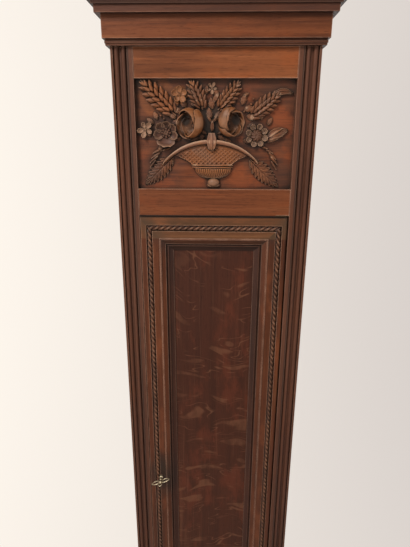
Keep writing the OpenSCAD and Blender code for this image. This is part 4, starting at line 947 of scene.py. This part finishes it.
def carved_wood():
    """Oak whose carving is worn lighter on top, with a painted highlight, and dark with wax and painted shade
    in the depths.
    """
    f = Finish("oak_carved")
    grain = f.stretch(level(f), 1, shift=(18.2, 3.1, 0.4))
    broad = f.noise(grain, (120, 120, 7), detail=3, distortion=0.5)
    fine = f.noise(grain, (620, 620, 20), detail=3, roughness=0.6)
    pore = f.noise(grain, (1500, 1500, 90), detail=1)
    cloud = f.noise(f.spot, 24, detail=4, roughness=0.6)
    blotch_noise = f.noise(f.spot, 21, shift=(5, 2, 1))

    def near(at, reach, fade, squat=1.0, rough=0.0):
        """1 within reach of a spot of the panel given in millimetres, 0 beyond the fade."""
        off = f.off(at[0] * MM, carved_z + at[1] * MM, 1 / squat)
        return f.band(cloud * (rough * MM) + off, fade * MM, reach * MM)

    f.start(f.band(broad, 0.32, 0.62), (70, 39, 26), (108, 61, 38))
    f.over((136, 68, 36), f.band(cloud, 0.46, 0.66) * 0.75)
    for corner in ((-38, -62), (38, -64)):
        f.over((136, 70, 34), near(corner, 14, 44, squat=0.7, rough=18) * 0.4)
    # Painted shade under the top rail: the ground darker towards the top
    f.over((60, 44, 36), f.band(f.z, carved_z + 0.040, carved_z + 0.094, 0.0, 0.6))
    # Dark wax and painted shade deep between the roses
    f.over((38, 32, 25), near((-4, 24), 26, 52, squat=0.8, rough=14) * 0.9)
    ground = f.colour
    f.start(f.band(broad, 0.3, 0.7), (88, 52, 34), (130, 80, 51))
    f.over((140, 82, 42), near((-4, -34), 30, 56, squat=0.6) * 0.7)
    # Greyish patches: dust, and painted sheen
    f.over((108, 92, 80), f.band(blotch_noise, 0.5, 0.62, 0.0, 0.3))
    height = f.band(f.y, trunk_front + GROUND_DEEP - 0.0002, trunk_front - 0.0045, smooth=False)
    f.start(f.band(height, 0.05, 0.16), ground, f.colour)
    # High points worn lighter, with a painted highlight
    worn_and_lit_tone = f.mix(f.band(cloud, 0.42, 0.6), (150, 112, 92), (174, 114, 68))
    f.over(worn_and_lit_tone, f.band(height, 0.3, 0.95, 0.0, 0.6))
    # Tones round single spots: a golden small flower, darker big and scalloped flowers, an orange ear, a
    # painted highlight on the knob, and painted shade in the two lower corners
    for at, reach, share, tone in (
            (SMALL_FLOWER, 12, 0.8, (150, 86, 36)), (BIG_FLOWER, 19, 0.8, (76, 47, 37)),
            (SCALLOPED_FLOWER, 19, 0.65, (60, 42, 35)), ((-92, 58), 26, 0.35, (164, 96, 54)),
            ((-1.2, -74), 8, 0.5, (156, 118, 92)), ((-108, -56), 20, 0.45, (62, 42, 34)),
            ((108, -56), 20, 0.4, (62, 42, 34))):
        f.over(tone, near(at, reach, reach * 1.25) * share)
    petals = f.mix(f.band(blotch_noise, 0.38, 0.52), (82, 49, 31), (126, 74, 38))
    thin = near(BIG_FLOWER, 20, 24) | near(SMALL_FLOWER, 12, 15)
    for at in ROSES:
        rose = near(at, 20, 25)
        f.over(petals, rose * 0.85)
        thin = thin | rose
    f.over((54, 33, 24), f.band(fine, 0.52, 0.7) * 0.5)
    # Dark wax and painted shade in the hollows
    deep = f.band(f.near_walls(0.0045), 0.12, 0.62) | f.band(f.near_walls(0.028), 0.19, 0.68)
    # Painted shadow inside the roses' mouths
    for mouth in ((-46.4, 24.2), (33.6, 24.4)):
        deep = deep | near(mouth, 7.5, 13.5, squat=1.3, rough=5)
    f.over((33, 27, 22), deep * 0.95)
    # Edges worn lighter, with a painted highlight, less deep down and on thin petals
    rim = f.band(f.near_walls(0.0016, inside=True), 0.2, 0.65)
    f.over((196, 156, 126), rim * f.band(deep, 0.75, 0.1, 0.0, 0.62) * f.band(thin, 0.0, 1.0, 1.0, 0.35))
    return f.set(Base_Color=f.colour, Specular_IOR_Level=0.2, Roughness=cloud * 0.2 + 0.36,
                 Normal=f.bump(pore * -0.4 + fine * -0.4, 0.35, 0.0003))


# Rope mouldings: three strands turned together, laid in the frame's groove
def rope_run(long, wide, thick, lead):
    """An upright run of rope about z, its ends mitred towards +x."""
    strand_at, strand_r = 0.47, 0.53

    def rule(x, y, z):
        a = atan2(y, x)
        off = (a + pi / 3) % (2 * pi / 3) - pi / 3
        r = thick / 2 * (strand_at * cos(off) + sqrt(strand_r ** 2 - (strand_at * sin(off)) ** 2))
        return r * cos(a), r * sin(a), -long / 2 - lead / 2

    def mitre():
        for s in (-1, 1):
            bpy.ops.mesh.select_all(action="SELECT")
            bpy.ops.mesh.bisect(plane_co=(0, 0, s * long / 2), plane_no=(1, 0, s), use_fill=True,
                                clear_outer=True)

    piece = begin("circle", rule, vertices=24, fill_type="NOTHING")
    with_modifier(piece, "SCREW", axis="Z", angle=-2 * pi, screw_offset=lead, steps=22, render_steps=22,
                  iterations=ceil(long / lead) + 1, use_smooth_shade=False)
    shape(piece, lambda x, y, z: (wide / thick * x, y, z))
    in_edit(piece, mitre, outward)
    return take_mesh(piece)


def make_rope(name, node, front, body):
    """A rope ring in the place of the plain moulding that the case has there."""
    wide, thick, lead = 11.2, 9.4, 30.0
    inset, sunk = 0.0048, 0.0050  # how far the rope's middle lies inside the node's edge and behind the front
    half, middle, half_h = span(node)
    half, half_h = (half - inset) / MM, (half_h - inset) / MM
    upright_run, level_run = (rope_run(2 * reach, wide, thick, lead) for reach in (half_h, half))
    ring = Assembly()
    for turn, mesh, out in ((0, upright_run, half), (90, level_run, half_h), (180, upright_run, half),
                            (270, level_run, half_h)):
        ring.lay(mesh, turned(turn, "Y"), moved(-out, 0, 0))
    place = moved(0, front + sunk, middle) @ sized(MM)
    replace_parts(ring.finish(name, place, rope_wood(name, front), body, "dark_oak", smooth=38), node)


def rope_wood(name, front):
    """Painted shade dark in the twist, and pale only where each strand comes to the front: rubbed pale, with a
    painted highlight.
    """
    f = Finish("oak_" + name)
    cloud = f.noise(f.spot, 30, detail=3)
    fine = f.noise(f.spot, (700, 700, 60), detail=3)
    f.start(f.band(cloud, 0.35, 0.65), (72, 43, 29), (96, 59, 39))
    f.over((54, 34, 24), f.band(fine, 0.5, 0.7) * 0.4)
    # Painted highlight, with the wood rubbed pale, where each strand comes to the front
    crest = f.band(f.y, front + 0.0011, front + 0.0004)
    f.over((142, 104, 80), crest * f.band(cloud, 0.3, 0.6, 0.3, 0.7))
    # Painted shade in the twist between the strands
    f.over((36, 25, 18), f.band(f.near_walls(0.0045), 0.14, 0.6))
    return f.set(Base_Color=f.colour, Roughness=cloud * 0.2 + 0.34, Specular_IOR_Level=0.22,
                 Normal=f.bump(fine, 0.25, 0.0003))


# Key, dial, hands and the weight's line
def lathe(profile, sides=32, tube=False):
    """A turned piece about z from its radii and heights; a tube's profile comes back to its start."""
    def draw():
        for _ in profile[1:]:
            bpy.ops.mesh.extrude_edges_move(TRANSFORM_OT_translate={"value": (0, 0, 1)})

    def rule(x, y, z):
        radius, height = profile[round(z)]
        return radius * x, radius * y, height

    piece = begin("circle", vertices=sides, fill_type="NOTHING")
    in_edit(piece, draw)
    shape(piece, rule)
    if not tube:
        in_edit(piece, lambda: bpy.ops.mesh.fill_holes(sides=0))
    in_edit(piece, outward)
    return take_mesh(piece)


def bar(wide, tall, thick, soften=0.2):
    """A block centred on the origin with its edges softened."""
    piece = begin("cube", size=1)
    piece.data.transform(sized(wide, tall, thick))
    off = soften * min(wide, tall, thick)
    in_edit(piece, lambda: bpy.ops.mesh.bevel(offset=off, segments=2, affect="EDGES"))
    return take_mesh(piece)


def key_loop(long, wide, wire):
    """One pierced lobe of the key's bow, drawn out along x and slimmer at its outer end."""
    def rule(x, y, z):
        out = (x + 1) / 2
        return long / 2 * x, wide / 2 * y * (1.0 - 0.25 * out), 3.4 * z * (1.2 - 0.4 * out)

    return ready("torus", rule, major_radius=1, minor_radius=wire, major_segments=36, minor_segments=12)


def make_key():
    """The key in the trunk door: y runs along the shank into the door, and the bow is tipped about it."""
    near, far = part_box("door_key")
    bow_y = near.y + 0.012  # the bow's middle, behind the key's foremost point
    deep, door = (far.y - bow_y) / MM, (trunk_front - bow_y) / MM
    key = Assembly()
    shank = lathe([(1.2, -4.2), (2.4, -3.4), (2.9, -1.8), (2.9, 0.6), (2.2, 2.4), (2.0, 3.4), (2.8, 4.1),
                   (2.8, 5.0), (2.0, 5.7), (2.1, door - 7.4), (3.2, door - 7.0), (3.8, door - 5.8),
                   (3.2, door - 4.6), (2.2, door - 4.2), (2.2, deep - 0.5), (1.7, deep)])
    key.lay(shank, turned(-90, "X"))
    tilt = turned(-21, "Y")
    bead = lathe([(0.2, -2.0), (1.3, -1.4), (1.9, 0), (1.3, 1.4), (0.2, 2.0)], sides=16)
    for hand in (0, 180):
        key.lay(key_loop(15, 9.6, 0.24), tilt, turned(hand), moved(10.6, 0, 0))
        key.lay(bead, tilt, turned(hand), moved(17.4, 0, 0), turned(90, "Y"), sized(0.8))
    key.lay(key_loop(9, 8.4, 0.26), tilt, turned(-90), moved(7.0, 0, 0))
    bit_y, bit_low = deep - 5.55, -8.4
    for off, low in ((-0.9, bit_low), (0.0, bit_low * 0.75), (0.9, bit_low)):
        key.lay(bar(2.3, 0.86, -low, soften=0.12), moved(0, bit_y + off, low / 2))
    brass = metal("brass_key", (186, 173, 146), (98, 84, 64), rough=0.38, dull=0.7)
    place = moved((near.x + far.x) / 2, bow_y, span("lock_bolt")[1]) @ sized(MM)
    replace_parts(key.finish("key_pierced", place, brass, "key", "pale_brass", smooth=45), "door_key")


# Each Roman letter's width, then its strokes: how far off its middle, their lean in degrees, their thickness
LETTERS = {"I": (4.6, (0, 0, 2.5)), "V": (9.4, (-2.2, 13, 2.5), (2.2, -13, 1.2)),
           "X": (9.8, (0, 21, 2.5), (0, -21, 1.2))}


def roman(figure):
    """A plain Roman figure built from broad and fine strokes with serifs, centred on the origin."""
    numeral, tall, serif, thin = Assembly(), 17, 0.7, 0.2
    wide = sum(LETTERS[letter][0] for letter in figure)
    at = -wide / 2
    for letter in figure:
        room, *strokes = LETTERS[letter]
        for off, lean, thick in strokes:
            stroke = bar(thick, tall / cos(radians(lean)), thin)
            numeral.lay(stroke, moved(at + room / 2 + off, 0, 0), turned(lean))
        at += room
    for end in (-1, 1):
        numeral.lay(bar(wide - 0.6, serif, thin), moved(0, end * tall / 2, 0))
    return numeral.whole()


def figures(text, size):
    """Plain figures as a thin mesh centred on the origin."""
    bpy.ops.object.select_all(action="DESELECT")
    bpy.ops.object.text_add()
    figure = bpy.context.object
    figure.data.body = text
    figure.data.size = size
    figure.data.align_x, figure.data.align_y = "CENTER", "CENTER"
    figure.data.extrude, figure.data.offset = 0.1, 0.02 * size
    bpy.ops.object.convert(target="MESH")
    return take_mesh(bpy.context.object)


def make_dial_marks():
    """Hour figures, and a scale of sixty round the dial and round the seconds hand."""
    marks = Assembly()

    def scale(at, ticks_at, tall, fine, bold, figures_at, size, step, circles, line):
        for i in range(60):
            marks.lay(bar(fine if i % 5 else bold, tall, 0.2), at, turned(-6 * i), moved(0, ticks_at, 0))
        for i in range(step, 61, step):
            marks.lay(figures(str(i), size), at, turned(-6 * i), moved(0, figures_at, 0))
        for radius in circles:
            near, far = radius - line / 2, radius + line / 2
            ring = [(near, -0.1), (near, 0.1), (far, 0.1), (far, -0.1), (near, -0.1)]
            marks.lay(lathe(ring, sides=120, tube=True), at)

    for hour, figure in enumerate("XII I II III IIII V VI VII VIII IX X XI".split()):
        marks.lay(roman(figure), turned(-30 * hour), moved(0, 103.6, 0))
    scale(moved(0, 0, 0), ticks_at=114.9, tall=3.0, fine=0.8, bold=1.8, figures_at=120.0, size=6.4, step=5,
          circles=(93.2, 113.4, 116.4, 123.3), line=0.7)
    scale(moved(0, (escape_z - dial_z) / MM, 0), ticks_at=22.6, tall=1.8, fine=0.35, bold=0.8,
          figures_at=18.4, size=5.2, step=10, circles=(14.8, 21.6, 23.7), line=0.3)
    f = Finish("wax_black")
    cloud = f.noise(f.spot, 300, detail=3)
    wax = f.set(Base_Color=f.mix(cloud, (20, 18, 17), (46, 42, 38)), Specular_IOR_Level=0.3,
                Roughness=cloud * 0.3 + 0.4, Normal=f.bump(cloud, 0.3, 0.0001))
    marks.finish("dial_marks", on_front(dial_face, dial_z), wax, "case", "silvered_brass")


def make_dial_corners():
    """Cast scrolls in the dial's corners."""
    corners = Assembly()
    curve = []
    for i in range(40):
        share = i / 39
        a = radians(560 * share)
        out = 1.6 + 6.6 * share ** 0.8
        curve.append(Vector((out * cos(a), out * sin(a), 0.6 + 0.5 * sin(pi * share))))
    curl = swept(curve, [1.25 - 0.65 * i / 39 for i in range(40)], 8)
    spray = carved_leaf(19, 9, 1.2, teeth=4, bite=0.35, veins=0.6, sweep=1.3, foot=-0.2)
    half, _, half_h = span("dial_plate")
    size_up, in_x, in_y = 1.75, 30, 34
    for side_x in (-1, 1):
        for side_y in (-1, 1):
            at = (moved(side_x * (half / MM - in_x), side_y * (half_h / MM - in_y), 0),
                  sized(side_x * size_up, side_y * size_up, size_up))
            corners.lay(curl, *at, moved(-8, 8, 0), turned(20))
            corners.lay(curl, *at, moved(8, -9, 0), turned(70), sized(1, -1, 1))
            for x, y, turn, size in ((-3, -3, 45, 1), (-2, 6, 150, 0.7), (6, -2, -60, 0.7)):
                corners.lay(spray, *at, moved(x, y, 0), turned(turn), sized(size))
    cast = metal("brass_cast", (224, 184, 108), (112, 78, 38), rough=0.34, dull=0.6)
    corners.finish("dial_corner_scrolls", on_front(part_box("dial_plate")[0].y, dial_z), cast, "case", "brass")


def blade(rows, thick):
    """A hand's blade up the y axis, ridged along its middle, from its half width at each height."""
    def rule(x, y, z):
        half, high = rows[round((y + 0.5) * (len(rows) - 1))]
        return 2 * x * half, high, thick * (0.5 - 0.35 * abs(2 * x))

    piece = begin("grid", rule, x_subdivisions=4, y_subdivisions=len(rows) - 1, size=1)
    down = {"value": (0, 0, -thick * 0.6)}
    in_edit(piece, lambda: bpy.ops.mesh.extrude_region_move(TRANSFORM_OT_translate=down), outward)
    return take_mesh(piece)


def make_hands():
    """Blued hands with ridged blades, pierced rings and turned bosses."""
    blued = metal("steel_blued_hands", (34, 44, 84), (28, 28, 42), rough=0.22, dull=0.5, spots=0.2)

    def hand(name, node, body, z, rows, ring_at, ring_r, tail, boss, thick):
        def turning(radius, profile, sides=40):
            return lathe([(radius * r, thick * h) for r, h in profile], sides=sides, tube=True)

        whole = Assembly()
        whole.lay(blade(rows, thick))
        hoop = ((0.62, -0.3), (0.62, 0.2), (0.81, 0.5), (1, 0.2), (1, -0.3), (0.62, -0.3))
        whole.lay(turning(ring_r, hoop), moved(0, ring_at, 0))
        if tail:
            neck = [(1.5, -boss * 0.8), (1.3, -tail * 0.4), (2.2, -tail * 0.7), (3.0, -tail)]
            whole.lay(blade(neck, thick))
            whole.lay(turning(ring_r, hoop, sides=32), moved(0, -tail, 0), sized(0.8, 0.8, 1))
        dome = ((1, -0.5), (1, 0.3), (0.8, 0.5), (0.5, 0.5), (0.42, 0.2), (0.42, -0.5), (1, -0.5))
        whole.lay(turning(boss, dome))
        low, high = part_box(node)
        place = on_front((low.y + high.y) / 2, z)
        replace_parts(whole.finish(name, place, blued, body, "blued_steel", smooth=30), node)

    hand("minute_hand_pierced", "minute_hand", "centre", dial_z,
         [(2.6, 3), (1.6, 20), (1.4, 52), (1.7, 78), (2.6, 86), (1.5, 94), (0.9, 101), (0.35, 108)],
         ring_at=70, ring_r=5.6, tail=30, boss=6.0, thick=1.0)
    hand("hour_hand_pierced", "hour_hand", "hour", dial_z,
         [(3.0, 5), (2.0, 16), (1.8, 42), (1.6, 52), (2.8, 60), (1.4, 66), (0.9, 71), (0.4, 76)],
         ring_at=50, ring_r=7.2, tail=0, boss=8.0, thick=1.0)
    hand("seconds_hand_pierced", "seconds_hand", "escape", escape_z,
         [(1.0, 1), (0.7, 6), (0.6, 12), (0.9, 15), (0.5, 18), (0.25, 21)],
         ring_at=10, ring_r=1.7, tail=9, boss=2.6, thick=0.8)


def gut_finish():
    f = Finish("gut_twisted")
    radians_per_metre = 5200.0
    twist = f.maths("SINE", (f.z + f.x * 1.5) * radians_per_metre)
    cloud = f.noise(f.spot, (60, 60, 20), detail=3)
    f.start(cloud, (176, 136, 76), (206, 170, 108))
    f.over((120, 84, 44), f.band(twist, 0.2, 1.0, 0.0, 0.45))
    return f.set(Base_Color=f.colour, Roughness=cloud * 0.2 + 0.35, Normal=f.bump(twist, 0.4, 0.0002))


def make_line():
    """Turns on the barrel, two falls, the bight under the pulley and the knot on the seat board."""
    finish = gut_finish()
    thick, deep, lead = 0.8, 12.0, 1.76  # the line's radius, how far back it hangs, and a turn's width
    wrap = -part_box("gut_line")[0].x / MM - thick
    barrel_mid, pulley_mid = span("barrel")[1] / MM, span("pulley")[1] / MM
    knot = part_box("seat_board")[1].z / MM + 3

    def on_circle(z, angle, y):
        a = radians(angle)
        return Vector((wrap * cos(a), y, z + wrap * sin(a)))

    def lay(name, points, body, *extra):
        line = Assembly()
        line.lay(swept(points, thick, 10))
        for mesh, *place in extra:
            line.lay(mesh, *place)
        return line.finish(name, sized(MM), finish, body, "gut", smooth=60)

    def straight(x, z0, z1):
        return [Vector((x, deep, z0 + (z1 - z0) * i / 30)) for i in range(31)]

    winding = [on_circle(barrel_mid, 180 - 9 * i, deep + lead * i / 40) for i in range(81)]
    turns = lay("line_on_barrel", winding, "case")
    falls = ((lay("line_left_fall", straight(-wrap, barrel_mid, pulley_mid), "case"), barrel_mid),
             (lay("line_right_fall", straight(wrap, knot, pulley_mid), "case"), knot))
    lay("line_under_pulley", [on_circle(pulley_mid, 180 + 7.5 * i, deep) for i in range(25)], "weight")
    loop = ready("torus", major_radius=1.5, minor_radius=thick, major_segments=24, minor_segments=10)
    loops = [(loop, moved(wrap, deep, knot + lift), turned(turn), turned(tip, "X"))
             for turn, tip, lift in ((0, 12, -0.6), (120, -14, 0.4), (240, 68, 0.6))]
    lay("line_knot", straight(wrap, knot - 4, knot), "case", *loops)
    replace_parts(turns, "gut_line")
    for fall, top in falls:
        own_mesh(fall)


make_relief()
make_rope("rope_round_door", "door_rope_moulding", trunk_front, "trunk_door")
make_rope("rope_round_hood_door", "hood_rope_moulding", hood_front, "hood_door")
make_key()
make_dial_marks()
make_dial_corners()
make_hands()
make_line()


# Stage: a pale floor, a pale room and soft lamps
def add_floor():
    bpy.ops.mesh.primitive_plane_add(size=1)
    floor = bpy.context.object
    floor.name = "floor"
    floor.data.transform(moved(0, -1.08, -0.0005) @ sized(4.4, 3.0, 1))
    f = Finish("floor_pale")
    cloud = f.noise(f.spot, 2, detail=4)
    pale = f.mix(cloud, (222, 214, 204), (206, 200, 194))
    floor.data.materials.append(f.set(Base_Color=pale, Roughness=0.7))
    bpy.ops.object.select_all(action="DESELECT")


def add_room():
    """Pale walls for the eye, mirrors and glass, and a weaker even light for everything else."""
    world = bpy.data.worlds.new("room")
    bpy.context.scene.world = world
    t = Tree(world)
    camera, mirror, glass = (t.add("LightPath", output=f"Is {kind} Ray")
                             for kind in ("Camera", "Glossy", "Transmission"))
    across = t.parts(t.add("TexCoord", output="Generated"))[0]
    wall = t.mix(t.band(across, -0.5, 0.5, smooth=False), (255, 247, 237), (214, 206, 201))
    seen = t.add("Background", {"Color": wall})
    felt = t.add("Background", {"Color": (1.0, 0.98, 0.96, 1), "Strength": 0.22})
    t.show("World", t.add("MixShader", (camera | mirror | glass, felt, seen)))


def add_lamp(name, place, aim, size, power, colour=(1, 1, 1)):
    lamp = bpy.data.lights.new(name, "AREA")
    lamp.shape = "RECTANGLE"
    lamp.size, lamp.size_y = size
    lamp.energy = power
    lamp.color = colour
    holder = bpy.data.objects.new(name, lamp)
    bpy.context.collection.objects.link(holder)
    holder.location = place
    holder.rotation_euler = (Vector(aim) - Vector(place)).to_track_quat("-Z", "Y").to_euler()


add_camera()
add_floor()
add_room()
add_lamp("key_lamp", (-1.3, -2.1, 3.3), (0, 0, 1.3), (0.9, 0.9), 74, (1.0, 0.97, 0.93))
add_lamp("fill_lamp", (2.2, -2.2, 1.7), (0, 0, 1.1), (1.6, 2.4), 16, (0.96, 0.98, 1.0))
add_lamp("low_lamp", (-1.4, -2.6, 0.8), (0, 0, 0.6), (1.6, 1.6), 14)
add_lamp("back_lamp", (0.6, 2.8, 2.4), (0, 0, 1.2), (2.4, 2.4), 55)

bpy.context.scene.view_settings.view_transform = "Standard"
